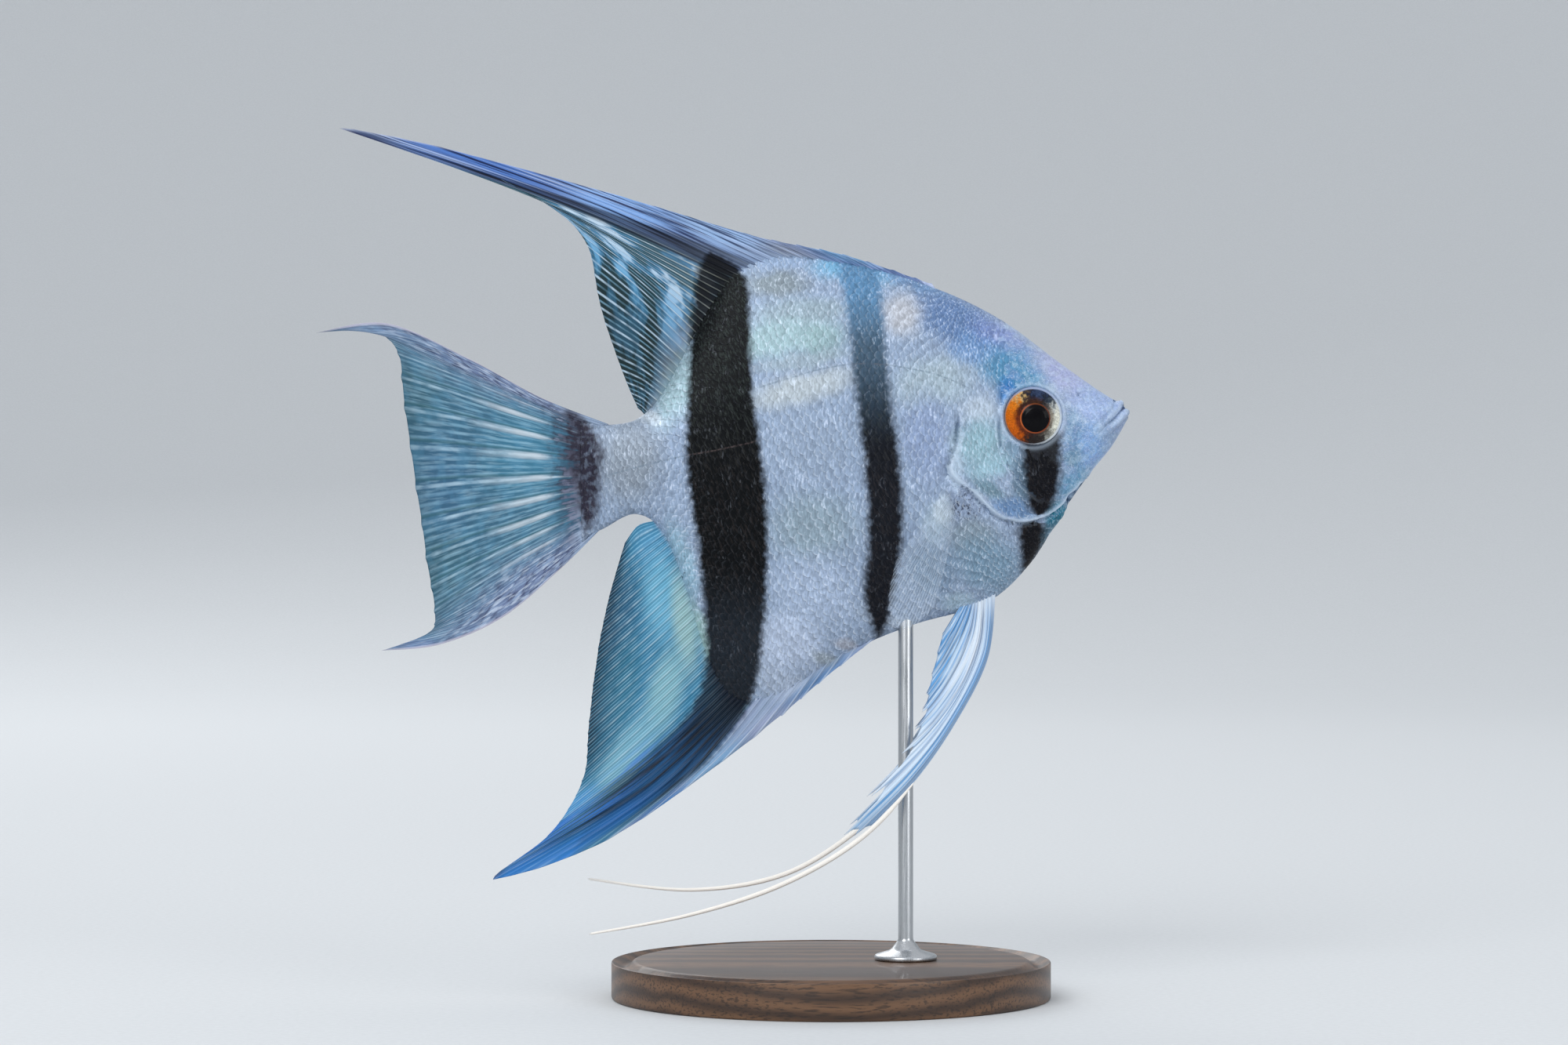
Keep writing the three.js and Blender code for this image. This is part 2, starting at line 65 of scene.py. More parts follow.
SENSOR = 36
VIEW_WIDTH = 250  # mm taken in at the fish
VIEW_MIDDLE = (-7.5, 75.7)  # mm, across and up

camera_distance = VIEW_WIDTH * LENS / SENSOR
bpy.ops.object.camera_add(
    location=(VIEW_MIDDLE[0] * MM, -camera_distance * MM, VIEW_MIDDLE[1] * MM),
    rotation=(math.pi / 2, 0, 0),
)
camera = bpy.context.object
camera.data.lens = LENS
camera.data.sensor_width = SENSOR
camera.data.clip_start = 0.01
bpy.context.scene.camera = camera
bpy.context.scene.view_settings.view_transform = "Standard"

# ---------------------------------------------------------------- skin
# One continuous hide over head, jaw, gill covers, throat, trunk and tail root, cast in
# resin and painted. The mouth, the gill openings, the bony ridges of the cheek and the
# rims of the eye sockets are modelled in it, and the scales are laid over it.
BODY_HEIGHT = 84  # mm from the floor to the middle of the body
# Stations from mouth to tail fin, in mm: back x, z; belly x, z; half width; and the
# fullness of the section, 0.5 for an ellipse and more for thinner edges.
BODY = [
    (45.9, 10.9, 47.3, 8.0, 1.25, 0.5),
    (42.5, 13.0, 44.8, 3.7, 3.0, 0.5),
    (36.3, 17.4, 41.4, -0.5, 4.7, 0.5),
    (29.0, 22.9, 37.1, -6.5, 5.8, 0.5),
    (22.8, 26.5, 31.6, -15.2, 6.6, 0.55),
    (16.3, 29.3, 24.6, -21.3, 7.0, 0.6),
    (8.0, 32.0, 13.0, -24.8, 7.0, 0.68),
    (-1.0, 33.8, 2.5, -29.3, 6.6, 0.76),
    (-9.0, 34.2, -8.0, -36.2, 6.0, 0.84),
    (-15.6, 31.6, -15.3, -37.2, 5.2, 0.84),
    (-20.0, 25.4, -19.8, -29.8, 4.4, 0.76),
    (-23.5, 18.6, -23.2, -18.8, 3.7, 0.66),
    (-27.2, 12.0, -26.8, -10.0, 3.1, 0.56),
    (-31.2, 8.2, -31.2, -7.1, 2.5, 0.5),
    (-36.6, 7.4, -36.2, -9.4, 1.9, 0.5),
    (-38.4, 7.9, -38.1, -10.4, 1.2, 0.5),
    (-40.0, 8.3, -39.7, -11.7, 0.4, 0.5),
]
TAIL_END = len(BODY) - 1
COAT_DEPTH = 0.15  # how far the hide lies inside the scales
THINNEST_HIDE = 0.02  # least half thickness, along the back and belly
STEP = 1e-3  # in stations and radians, to find the slope of the surface
NOSE_LENGTH = 0.5
HEAD_STATION = 5.3  # the head ends a little behind this station
HEAD_RINGS = 170
BODY_RINGS = 104
CAP_RINGS = 6
RING_SIDES = 336
EYE_PLACE = (31.8, 8.5)  # x and z
EYE_RADIUS = 4.85

GILL_EDGE = [  # rear and lower edge of the gill cover, from its top round to the throat
    (20.1, 9.4), (20.1, 7.0), (19.8, 4.6), (19.2, 2.6), (18.7, 1.0), (18.7, -0.4),
    (19.6, -1.6), (22.2, -3.5), (25.9, -7.0), (28.4, -8.0), (30.9, -8.2), (34.2, -7.2),
    (37.4, -4.6), (39.6, -2.0),
]
CHEEK_RIDGE = [(26.4, 9.2), (26.1, 6.8), (26.5, 3.4), (27.8, 0.4), (30.2, -2.8), (33.5, -5.2)]
COVER_SEAM = [(21.2, 2.2), (23.3, -0.2), (25.8, -2.9), (28.6, -4.9)]
MOUTH = [(48, 11.4), (46.9, 10.3), (46.1, 9.4), (45, 8.2), (44, 7.3), (42.6, 5.9), (41.2, 4.4)]
NOSTRIL = (39.3, 12.0)
GULAR_NOTCH = (38.4, -4.5)  # dent in the outline where jaw and throat meet
THROAT_LOBE = (36.9, -7.0)
FIN_JOINT = [(20.2, -3.4), (19.6, -5.2), (20.2, -7.2)]  # fleshy base of a pectoral fin


def between(four, f):
    """A Catmull-Rom curve between the middle two of four points, at a share f of the way."""
    before, start, end, after = four
    square = 2 * before - 5 * start + 4 * end - after
    cube = 3 * (start - end) + after - before
    return start + 0.5 * f * (end - before + f * (square + f * cube))


def along(table, t):
    """A table's values at t, counted in rows, on a smooth curve through its rows."""
    table = np.asarray(table, float)
    last = len(table) - 1
    t = np.clip(np.asarray(t, float), 0, last)
    index = np.minimum(t.astype(int), last - 1)
    f = (t - index).reshape(t.shape + (1,) * (table.ndim - 1))
    return between([table[np.clip(index + k, 0, last)] for k in (-1, 0, 1, 2)], f)


def smooth(value, low, high):
    """0 up to low, 1 from high on, and an S between them."""
    f = np.clip((value - low) / (high - low), 0, 1)
    return f * f * (3 - 2 * f)


def hump(value, width):
    """1 at zero, falling away on both sides like a bell."""
    return np.exp(-((value / width) ** 2))


def near(x, z, line, steps=6):
    """Distance to a smooth line, positive on its left, and the share of it passed there."""
    points = along(line, np.linspace(0, len(line) - 1, (len(line) - 1) * steps + 1))
    nearest = np.full(np.shape(x), np.inf)
    signed = np.zeros(np.shape(x))
    passed = np.zeros(np.shape(x))
    for k, ((x0, z0), (x1, z1)) in enumerate(zip(points, points[1:])):
        run, rise = x1 - x0, z1 - z0
        f = np.clip(((x - x0) * run + (z - z0) * rise) / (run**2 + rise**2), 0, 1)
        off_x, off_z = x - x0 - f * run, z - z0 - f * rise
        distance = np.hypot(off_x, off_z)
        closer = distance < nearest
        left = np.sign(run * off_z - rise * off_x)
        nearest = np.where(closer, distance, nearest)
        signed = np.where(closer, distance * left, signed)
        passed = np.where(closer, (k + f) / (len(points) - 1), passed)
    return signed, passed


def flesh(t, angle):
    """Plain surface of the body, in mm. The angle runs from the back over the left side."""
    rows = along(BODY, np.clip(t, 0, TAIL_END))
    back, belly = rows[..., 0:2], rows[..., 2:4]
    width, power = rows[..., 4], rows[..., 5]
    up = (back - belly) / 2
    half = np.hypot(up[..., 0], up[..., 1])
    nose = np.clip(-t, 0, 1)
    shrink = np.sqrt(1 - nose**2) * (1 - np.clip(t - TAIL_END, 0, 1))
    reach = np.cos(angle) * shrink * (half - COAT_DEPTH) / half
    ahead = NOSE_LENGTH * nose / half
    x = (back[..., 0] + belly[..., 0]) / 2 + up[..., 0] * reach + up[..., 1] * ahead
    z = (back[..., 1] + belly[..., 1]) / 2 + up[..., 1] * reach - up[..., 0] * ahead
    sine = np.sin(angle)
    thickness = np.maximum(width * np.abs(sine) ** (2 * power) - COAT_DEPTH, THINNEST_HIDE)
    return np.stack([x, np.sign(np.round(sine, 6)) * thickness * shrink, z], -1)


def slopes(t, angle):
    """How the plain surface runs towards the tail and down the side, per station and radian."""
    tailward = flesh(t + STEP, angle) - flesh(t - STEP, angle)
    downward = flesh(t, angle + STEP) - flesh(t, angle - STEP)
    return tailward / (2 * STEP), downward / (2 * STEP)


def relief(x, z):
    """The head's features: height over the plain surface in mm, painted shade in its creases, and pale
    edges with painted highlights.
    """
    # The gill cover's raised plate, the slit behind it and the folds under the throat.
    gill, gill_share = near(x, z, GILL_EDGE)
    opened = smooth(gill_share, 0.0, 0.07)
    plate = smooth(gill, -0.08, 0.1) * np.exp(-np.maximum(gill, 0) / 2.4)
    slit = opened * hump(gill + 0.3, 0.26)
    fold = smooth(gill_share, 0.55, 0.75) * (hump(gill + 1.05, 0.13) + hump(gill + 1.6, 0.13))
    height = 0.36 * opened * plate - 0.6 * slit - 0.1 * fold
    height += 0.16 * hump(gill + 1.7, 0.8) * smooth(gill_share, 0.05, 0.2)
    # The bony ridge across the cheek, and the seam in the gill cover.
    ridge, ridge_share = near(x, z, CHEEK_RIDGE)
    ends = smooth(ridge_share, 0, 0.15) * (1 - smooth(ridge_share, 0.75, 1))
    cheek = ends * hump(ridge - 0.32, 0.25)
    seam, seam_share = near(x, z, COVER_SEAM)
    line = hump(seam, 0.14) * smooth(seam_share, 0, 0.2) * (1 - smooth(seam_share, 0.8, 1))
    height += 0.2 * ends * hump(ridge + 0.25, 0.35) - 0.22 * cheek - 0.08 * line
    # The lips, rolled and parted at the tip, with a fold behind each.
    lips, lip_share = near(x, z, MOUTH)
    corner = 1 - smooth(lip_share, 0.5, 0.95)
    tip = 1 - smooth(lip_share, 0.14, 0.38)
    cleft = corner * hump(lips, 0.15 + 0.1 * tip)
    jaw_fold = corner * hump(lips - 1.45, 0.3)
    lip_fold = corner * hump(lips + 1.2 + 0.9 * tip, 0.3)
    height += 0.26 * corner * hump(np.abs(lips) - 0.85, 0.5)
    height += tip * (0.34 * hump(lips - 1.2, 0.7) + 0.26 * hump(lips + 0.9, 0.55))
    height -= (0.28 + 0.6 * tip) * cleft + 0.15 * jaw_fold + 0.22 * lip_fold
    # The nostril, the eye's socket and rim, the dent under the jaw and the fin's joint.
    pit = np.hypot(x - NOSTRIL[0], z - NOSTRIL[1])
    nostril = hump(pit, 0.26)
    eye = np.hypot(x - EYE_PLACE[0], z - EYE_PLACE[1]) - EYE_RADIUS
    socket = 1 - smooth(eye, -0.7, -0.25)
    rim = hump(eye - 0.2, 0.35)
    height += 0.1 * hump(pit - 0.55, 0.2) - 0.34 * nostril
    height += 0.3 * rim - 1.9 * socket + 0.12 * hump(eye - 1.5, 0.9)
    height -= 0.9 * hump(np.hypot(x - GULAR_NOTCH[0], z - GULAR_NOTCH[1]), 0.9)
    height += 0.35 * hump(np.hypot(x - THROAT_LOBE[0], z - THROAT_LOBE[1]), 1.8)
    height += 0.5 * hump(near(x, z, FIN_JOINT)[0], 0.75)

    # Painted shade, darkest in the gill slit, the cheek's groove, the cover's seam, the mouth's cleft
    # and folds, the nostril and the groove round the eye.
    crease = 1.25 * slit * (1 - 0.75 * smooth(gill_share, 0.2, 0.34)) + 0.9 * cheek + 0.4 * line
    crease += (0.4 - 0.15 * tip) * cleft + 0.2 * (jaw_fold + lip_fold) + 0.45 * nostril
    crease += 0.3 * fold + 0.3 * hump(eye + 0.2, 0.16)
    # Pale edges along the gill membrane, its notch and the fleshy top of the slit, and painted
    # highlights on the cheek's ridge, the lips and the socket's rim.
    bright = 1.2 * smooth(gill_share, 0.2, 0.36) * hump(gill - 0.1, 0.38)
    bright += hump(gill_share - 0.4, 0.07) * hump(gill + 0.2, 0.7)
    bright += 0.5 * smooth(-gill_share, -0.3, -0.2) * hump(gill - 0.75, 0.3) * opened
    bright += 0.6 * ends * hump(ridge + 0.2, 0.18) * (1 - 0.7 * smooth(ridge_share, 0.3, 0.6))
    bright += (0.2 * corner + 0.4 * tip) * hump(np.abs(lips) - 0.6, 0.4) + 0.35 * rim
    return height, np.clip(crease, 0, 1), np.clip(bright, 0, 1)


def hide(t, angle):
    """The hide with its features in mm, its outward normals, its painted crease shade, and its pale
    edges and painted highlights.
    """
    place = flesh(t, angle)
    tailward, downward = slopes(t, angle)
    normal = np.cross(downward, tailward)
    normal /= np.maximum(np.linalg.norm(normal, axis=-1, keepdims=True), 1e-9)
    height, crease, bright = relief(place[..., 0], place[..., 2])
    # Painted highlight along the head's top and bottom outline, where back and belly turn away.
    outline_highlight = hump(np.sin(angle), 0.2) * (1 - smooth(t, 4.2, 5.4))  # pale, on the head only
    return place + normal * height[..., None], normal, crease, np.maximum(bright, 0.55 * outline_highlight)


def mapped(mesh, maps):
    """Writes a mesh's maps: pairs of numbers as UV maps, single ones on its points."""
    corners = np.empty(len(mesh.loops), int)
    mesh.loops.foreach_get("vertex_index", corners)
    for title, values in maps.items():
        if values.ndim == 3:
            layer = mesh.uv_layers.new(name=title)
            layer.uv.foreach_set("vector", values.reshape(-1, 2)[corners].ravel())
        else:
            layer = mesh.attributes.new(title, "FLOAT", "POINT")
            layer.data.foreach_set("value", values.ravel())


def wrapped(name, places, maps):
    """A closed piece: a grid whose rows and columns are moved onto places, in mm."""
    rows, columns = places.shape[:2]
    bpy.ops.object.select_all(action="DESELECT")
    bpy.ops.mesh.primitive_grid_add(x_subdivisions=columns - 1, y_subdivisions=rows - 1)
    piece = bpy.context.object
    piece.name = name
    piece.data.uv_layers[0].name = "OFBake"
    piece.data.vertices.foreach_set("co", ((places + (0, 0, BODY_HEIGHT)) * MM).ravel())
    mapped(piece.data, maps)
    piece.data.update()
    bpy.ops.object.mode_set(mode="EDIT")
    bpy.ops.mesh.select_all(action="SELECT")
    bpy.ops.mesh.remove_doubles(threshold=1e-6)
    bpy.ops.mesh.normals_make_consistent(inside=False)
    bpy.ops.object.mode_set(mode="OBJECT")
    bpy.ops.object.shade_smooth()
    return piece


def paint(code):
    """An sRGB hex colour as the linear one that shaders take."""
    parts = [int(code[k : k + 2], 16) / 255 for k in (1, 3, 5)]
    return (*(p / 12.92 if p <= 0.04045 else ((p + 0.055) / 1.055) ** 2.4 for p in parts), 1)


def node(tree, kind, inputs=(), output=0, **settings):
    """Adds a shader node with its settings, values and links, and returns one output."""
    made = tree.nodes.new("ShaderNode" + kind)
    for key, value in settings.items():
        setattr(made, key, value)
    for key, value in inputs.items() if isinstance(inputs, dict) else enumerate(inputs):
        if isinstance(value, bpy.types.NodeSocket):
            tree.links.new(value, made.inputs[key])
        else:
            made.inputs[key].default_value = value
    return made.outputs[output]


def bare(name):
    """A new material with nothing in it yet, and its node tree."""
    material = bpy.data.materials.new(name)
    material.use_nodes = True
    material.node_tree.nodes.clear()
    return material, material.node_tree


def finish(material, inputs):
    """Closes a material with the shader that carries its looks."""
    tree = material.node_tree
    surface = tree.nodes.new("ShaderNodeOutputMaterial")
    tree.links.new(node(tree, "BsdfPrincipled", inputs, "BSDF"), surface.inputs["Surface"])
    return material


# Washes of colour over the silver ground: colour, middle x and z, half width and half
# height in mm, tilt in degrees and strength.
WASHES = [
    ("#5f7ca8", 20, 23.5, 9, 4.6, 32, 0.9),  # nape
    ("#7c8cc4", 27, 20.5, 6, 3, 36, 0.6),
    ("#78b4d8", 4, 32.7, 8, 3.2, 5, 0.9),  # azure saddle on the back
    ("#6a8cb4", 13, 30.4, 7, 2.0, 22, 0.85),
    ("#c0c2c8", 11.3, 24.6, 3.4, 4.0, 0, 0.8),  # cream fleck before the saddle
    ("#94aac8", -8, 33.8, 7, 1.8, 0, 0.85),
    ("#828e94", -9, 29.6, 6, 2.4, 0, 0.85),
    ("#94a7b2", -5, 25.0, 9, 2.8, -4, 0.9),
    ("#9cb8be", -9, 20.8, 9, 3.4, -8, 0.9),  # green-silver band over the side
    ("#8fadad", -1, 20.8, 4, 3, -10, 0.65),
    ("#9aabb2", -5, 17.2, 9, 1.4, -10, 0.6),
    ("#b4bec4", -5, 12.8, 10, 2.8, -14, 0.9),  # warm band under the line organ
    ("#a6b8c2", 16, 13.8, 7, 4.5, -10, 0.8),
    ("#94a5bc", -4, 3.5, 8, 7.5, 0, 0.8),  # lavender flank
    ("#8da1ac", -3, -9, 8, 6, 0, 0.75),
    ("#a9bad3", -3, -20, 8, 7, 0, 0.85),
    ("#b9c7de", -7.5, -27.5, 7, 5, 10, 0.85),
    ("#abb9ce", -8, -34, 7, 3, 30, 0.8),
    ("#9cb8c0", -24.4, 13.5, 3.4, 8, 22, 0.9),  # pale water-blue behind the wide bar
    ("#87919c", -32, 2, 6, 8, 0, 0.85),  # grey tail root
    ("#c2ced8", -29.8, 8.6, 4, 1.2, 15, 0.8),
    ("#63667c", -42.2, -2, 2.6, 15, 4, 0.9),  # dusk at the foot of the tail fin
    ("#98bcd0", -23.8, -15, 2.4, 8, -14, 0.85),  # aqua root of the belly fin
    ("#a6c8c4", -20.4, -27, 1.8, 7, -18, 0.85),
    ("#8ea0c2", 15, 5.0, 4.2, 8, 0, 0.8),
    ("#748ca4", 16, -15.5, 4.4, 5, 0, 0.8),
    ("#a4b8c8", 16.5, -8.5, 2.6, 3.4, 0, 0.8),
    ("#4a8ab0", 28.6, 15.6, 6.4, 4.2, 24, 0.85),  # deep azure over the gill cover's top
    ("#3c78b4", 28.0, 12.4, 2.0, 3.0, 10, 1.0),
    ("#4c86ac", 30.8, 14.6, 2.4, 1.6, 30, 0.7),
    ("#6c94c4", 22.0, 19.4, 3.6, 3, 0, 0.6),
    ("#a3aacf", 37.2, 15.6, 6, 3.4, 35, 0.9),  # lavender forehead
    ("#97add6", 42.5, 10.6, 5, 4, 30, 0.8),
    ("#7aa2d2", 40.3, 3.6, 4.4, 4.6, 0, 0.85),  # sky-blue muzzle
    ("#6288aa", 38.2, 6.8, 1.7, 3.6, 0, 0.7),
    ("#5e8298", 38.3, 2.2, 2.0, 2.6, 0, 0.75),
    ("#8098b8", 44.0, 6.8, 3.0, 1.6, 50, 0.6),
    ("#5c92b4", 38.6, -2.2, 3.8, 2.6, -40, 0.85),
    ("#94b8c4", 23.6, 4.0, 4.4, 5, 0, 0.85),  # gill cover
    ("#9cbfce", 25.6, 0.6, 4.4, 1.8, -14, 0.8),
    ("#6a8a98", 24.9, -3.0, 3.6, 1.7, 30, 0.8),
    ("#5c788c", 30.2, -1.5, 1.9, 5.5, 0, 0.8),
    ("#6c8ca2", 28.6, 4.4, 1.6, 3.4, 0, 0.6),
    ("#6484ac", 28.8, -6.2, 4.4, 1.8, 10, 0.9),
    ("#bccad8", 23.4, 9.6, 3.2, 2.4, 0, 0.7),
    ("#8c9cb6", 20.9, -5.2, 3.6, 3.0, 0, 0.85),  # speckled breast
    ("#82919a", 22.5, -10.5, 4.4, 3.2, 0, 0.75),
    ("#c2d0da", 17.6, -6.6, 1.6, 2.6, 0, 0.9),
    ("#b2c6d8", 19.7, 1.6, 1.4, 4.6, 0, 0.75),
    ("#7492a8", 25, -15, 6.5, 5, 30, 0.85),
    ("#a6bece", 20.6, -21.4, 3.4, 1.8, 18, 0.8),
    ("#26768f", 36.0, -7.2, 2.4, 2.6, 0, 1.0),  # bright blue throat
    ("#426c80", 34.4, -10.6, 1.8, 3.4, 30, 0.85),
    ("#a6b4c6", 12, -24.6, 9, 1.5, 18, 0.8),  # cream line of the belly
    ("#8f9692", 0, -30.6, 4, 1.2, 30, 0.5),
    ("#b6aaa4", 2.5, -27.6, 2.4, 1.0, 18, 0.35),
    ("#a9b8e0", 25.9, 21.2, 0.5, 0.75, 0, 1.0),  # pale dot
]
# Dark bars, from below upwards: height, middle and half width in mm. A half width under
# nought ends a bar.
EYE_BAR = [
    (-18, 30.6, -0.6), (-15, 31.3, 1.1), (-13, 31.7, 1.7), (-10.5, 31.8, 2.2), (-8.6, 31.8, 2.2),
    (-7.7, 32.4, -0.8), (-6.9, 32.9, 1.2), (-6.0, 33.1, 1.9), (-3.4, 33.3, 2.6), (0, 33.3, 3.0),
    (3.4, 33.3, 3.1), (5.4, 33.3, 3.0), (8, 33.2, 1.0), (11, 33, -2),
]
MIDDLE_BAR = [
    (-28, 7.4, -1), (-25.6, 7.6, 0.8), (-18.8, 7.6, 2.4), (-12.5, 8.4, 2.7), (0, 8.1, 2.8),
    (12.5, 6.5, 2.7), (25, 5.3, 2.8), (31, 4.6, 3.2), (36, 4.4, 4.0),
]
WIDE_BAR = [
    (-60, -37, 4.0), (-50, -27.5, 5.0), (-43.8, -22.1, 4.5), (-37.5, -17.6, 4.4),
    (-31.2, -15.7, 4.3), (-25, -15.4, 4.7), (-12.5, -15.6, 5.5), (0, -16.8, 6.1),
    (12.5, -17.6, 5.2), (25, -17.5, 4.6), (29.5, -17.5, 4.2), (31.5, -17.8, 3.6),
    (33, -18.3, 2.5), (34.2, -18.9, 1.0), (35.6, -19.6, -1.5),
]
TAIL_BAR = [
    (-12, -39.4, -1.5), (-9.4, -38.9, 0.6), (-7.2, -38.7, 1.4), (-3, -38.8, 2.0), (0, -39.2, 2.6),
    (3.6, -39.7, 3.3), (6, -40.2, 2.8), (8.2, -41.0, 1.5), (10.5, -43, -1.5),
]
LOWEST, HEIGHT_RANGE = -60.0, 100.0  # of the bars, in mm from the middle of the body
WEST, MIDDLE_RANGE = -50, 100  # of the bars' middles, along the body
THINNEST, WIDTH_RANGE = -3, 12  # of the bars' half widths
WASH_EDGE = (0.35, 1.3)  # a wash fades from the first to the second share of its oval
SHARE, UNDER, OVER, MIXED = 0, 6, 7, 2  # a colour mixer's sockets, by number


def amount(tree, *parts):
    """How strongly something shows: the product of its parts.

    A part is a value, or (value, low, high, start, end), which eases from start to end as
    the value goes from low to high. Start and end are 0 and 1 where they aren't given.
    """
    made = None
    for part in parts:
        if isinstance(part, tuple):
            value, low, high, start, end = (*part, 0, 1)[:5]
            limits = {"Value": value, "From Min": low, "From Max": high, "To Min": start, "To Max": end}
            part = node(tree, "MapRange", limits, interpolation_type="SMOOTHSTEP")
        made = part if made is None else node(tree, "Math", (made, part), operation="MULTIPLY")
    return made


def coats(tree, colour, *layers):
    """Coats of paint over a colour: for each the parts of its amount, then its colour."""
    for *parts, over in layers:
        under, over = (paint(c) if isinstance(c, str) else c for c in (colour, over))
        inputs = {SHARE: amount(tree, *parts), UNDER: under, OVER: over}
        colour = node(tree, "Mix", inputs, MIXED, data_type="RGBA")
    return colour


def toned(tree, colour, light):
    """The colour made darker or lighter by a factor."""
    inputs = {SHARE: 1, UNDER: colour, OVER: light}
    return node(tree, "Mix", inputs, MIXED, data_type="RGBA", blend_type="MULTIPLY")


def apart(tree, one, other):
    """How far two values lie apart."""
    off = node(tree, "Math", (one, other), operation="SUBTRACT")
    return node(tree, "Math", (off,), operation="ABSOLUTE")


def grain(tree, place, size, low=0.0, high=1.0, detail=3.0):
    """Noise with grains of a size in metres, spread over a range of values."""
    noise = node(tree, "TexNoise", {"Vector": place, "Scale": 1 / size, "Detail": detail}, "Fac")
    return amount(tree, (noise, 0.3, 0.7, low, high))


def follow(tree, share, points, start, long, low, span):
    """A value on a smooth curve through points of place and value.

    share is how far the place has come from start along a stretch that is so long. The
    curve holds each value as a share of span above low.
    """
    curve = node(tree, "FloatCurve", {"Value": share}).node
    curve.mapping.use_clip = False
    curve.mapping.extend = "HORIZONTAL"
    steps = curve.mapping.curves[0].points
    placed = [((place - start) / long, (value - low) / span) for place, value in points]
    steps[0].location, steps[1].location = placed[0], placed[-1]
    for spot in placed[1:-1]:
        steps.new(*spot)
    curve.mapping.update()
    limits = {"Value": curve.outputs[0], "To Min": low, "To Max": low + span}
    return node(tree, "MapRange", limits, clamp=False)


def bar(tree, x, height, points, wobble, soft):
    """How dark a bar is at a place, from 0 outside to 1 inside. x and wobble are in mm."""
    reach = (LOWEST, HEIGHT_RANGE)
    middle = follow(tree, height, [(z, m) for z, m, _ in points], *reach, WEST, MIDDLE_RANGE)
    half = follow(tree, height, [(z, w) for z, _, w in points], *reach, THINNEST, WIDTH_RANGE)
    off = node(tree, "Math", (apart(tree, x, middle), wobble), operation="ADD")
    off = node(tree, "Math", (off, half), operation="SUBTRACT")
    return amount(tree, (off, -soft, soft, 1, 0))


def washed(tree, place, colour, washes):
    """The colour with soft oval washes over it, one after another."""
    for code, x, z, half_x, half_z, tilt, strength in washes:
        inputs = {
            "Vector": place,
            "Location": (x * MM, 0, (z + BODY_HEIGHT) * MM),
            "Rotation": (0, math.radians(tilt), 0),
            "Scale": (half_x * MM, 1, half_z * MM),
        }
        off = node(tree, "Mapping", inputs, vector_type="TEXTURE")
        off = node(tree, "VectorMath", (off,), "Value", operation="LENGTH")
        colour = coats(tree, colour, ((off, *WASH_EDGE, strength, 0), code))
    return colour


def markings(tree):
    """The fish's colours at each place: the place, the colour and how dark its bars are."""
    place = node(tree, "TexCoord", output="Object")
    drift = {"Vector": place, "Scale": 1 / (3.0 * MM), "Detail": 3}
    drift = node(tree, "TexNoise", drift, "Color")
    drift = node(tree, "VectorMath", (drift, (0.5, 0.5, 0.5)), operation="SUBTRACT")
    stray = (2.6 * MM, 0, 2.6 * MM)
    loose = node(tree, "VectorMath", (drift, stray, place), operation="MULTIPLY_ADD")
    colour = washed(tree, loose, "#92a4bd", WASHES)
    parts = node(tree, "SeparateXYZ", (place,)).node.outputs
    x = node(tree, "Math", (parts["X"], 1 / MM), operation="MULTIPLY")
    z = parts["Z"]
    low = (LOWEST + BODY_HEIGHT) * MM
    height = {"Value": z, "From Min": low, "From Max": low + HEIGHT_RANGE * MM}
    height = node(tree, "MapRange", height)
    wobble = grain(tree, place, 1.0 * MM, -0.26, 0.26)
    eye = bar(tree, x, height, EYE_BAR, wobble, 1.0)
    wide = bar(tree, x, height, WIDE_BAR, wobble, 0.8)
    tail = bar(tree, x, height, TAIL_BAR, wobble, 1.2)
    tail = amount(tree, tail, grain(tree, place, 0.9 * MM, 0.72, 1.15))
    middle = bar(tree, x, height, MIDDLE_BAR, wobble, 0.9)
    ink = coats(tree, "#15181f", ((z, 0.087, 0.107), "#485f74"), ((z, 0.103, 0.114), "#5f8ab0"))
    speckled = washed(tree, place, "#000000", [("#ffffff", 21.2, -5.8, 3.2, 2.6, 0, 0.9)])
    colour = coats(
        tree, colour,
        (middle, ink),
        (speckled, grain(tree, place, 0.5 * MM, -1.6, 1.3), "#4a5468"),
        (eye, "#0f1016"),
        (wide, coats(tree, "#1f262e", ((z, 0.056, 0.07), "#080b0e"))),
        (tail, "#2e2c3a"),
    )
    dark = amount(tree, middle, (z, 0.088, 0.11, 1, 0.4))
    for other in (eye, wide, tail):
        dark = node(tree, "Math", (dark, other), operation="MAXIMUM")
    return place, colour, dark


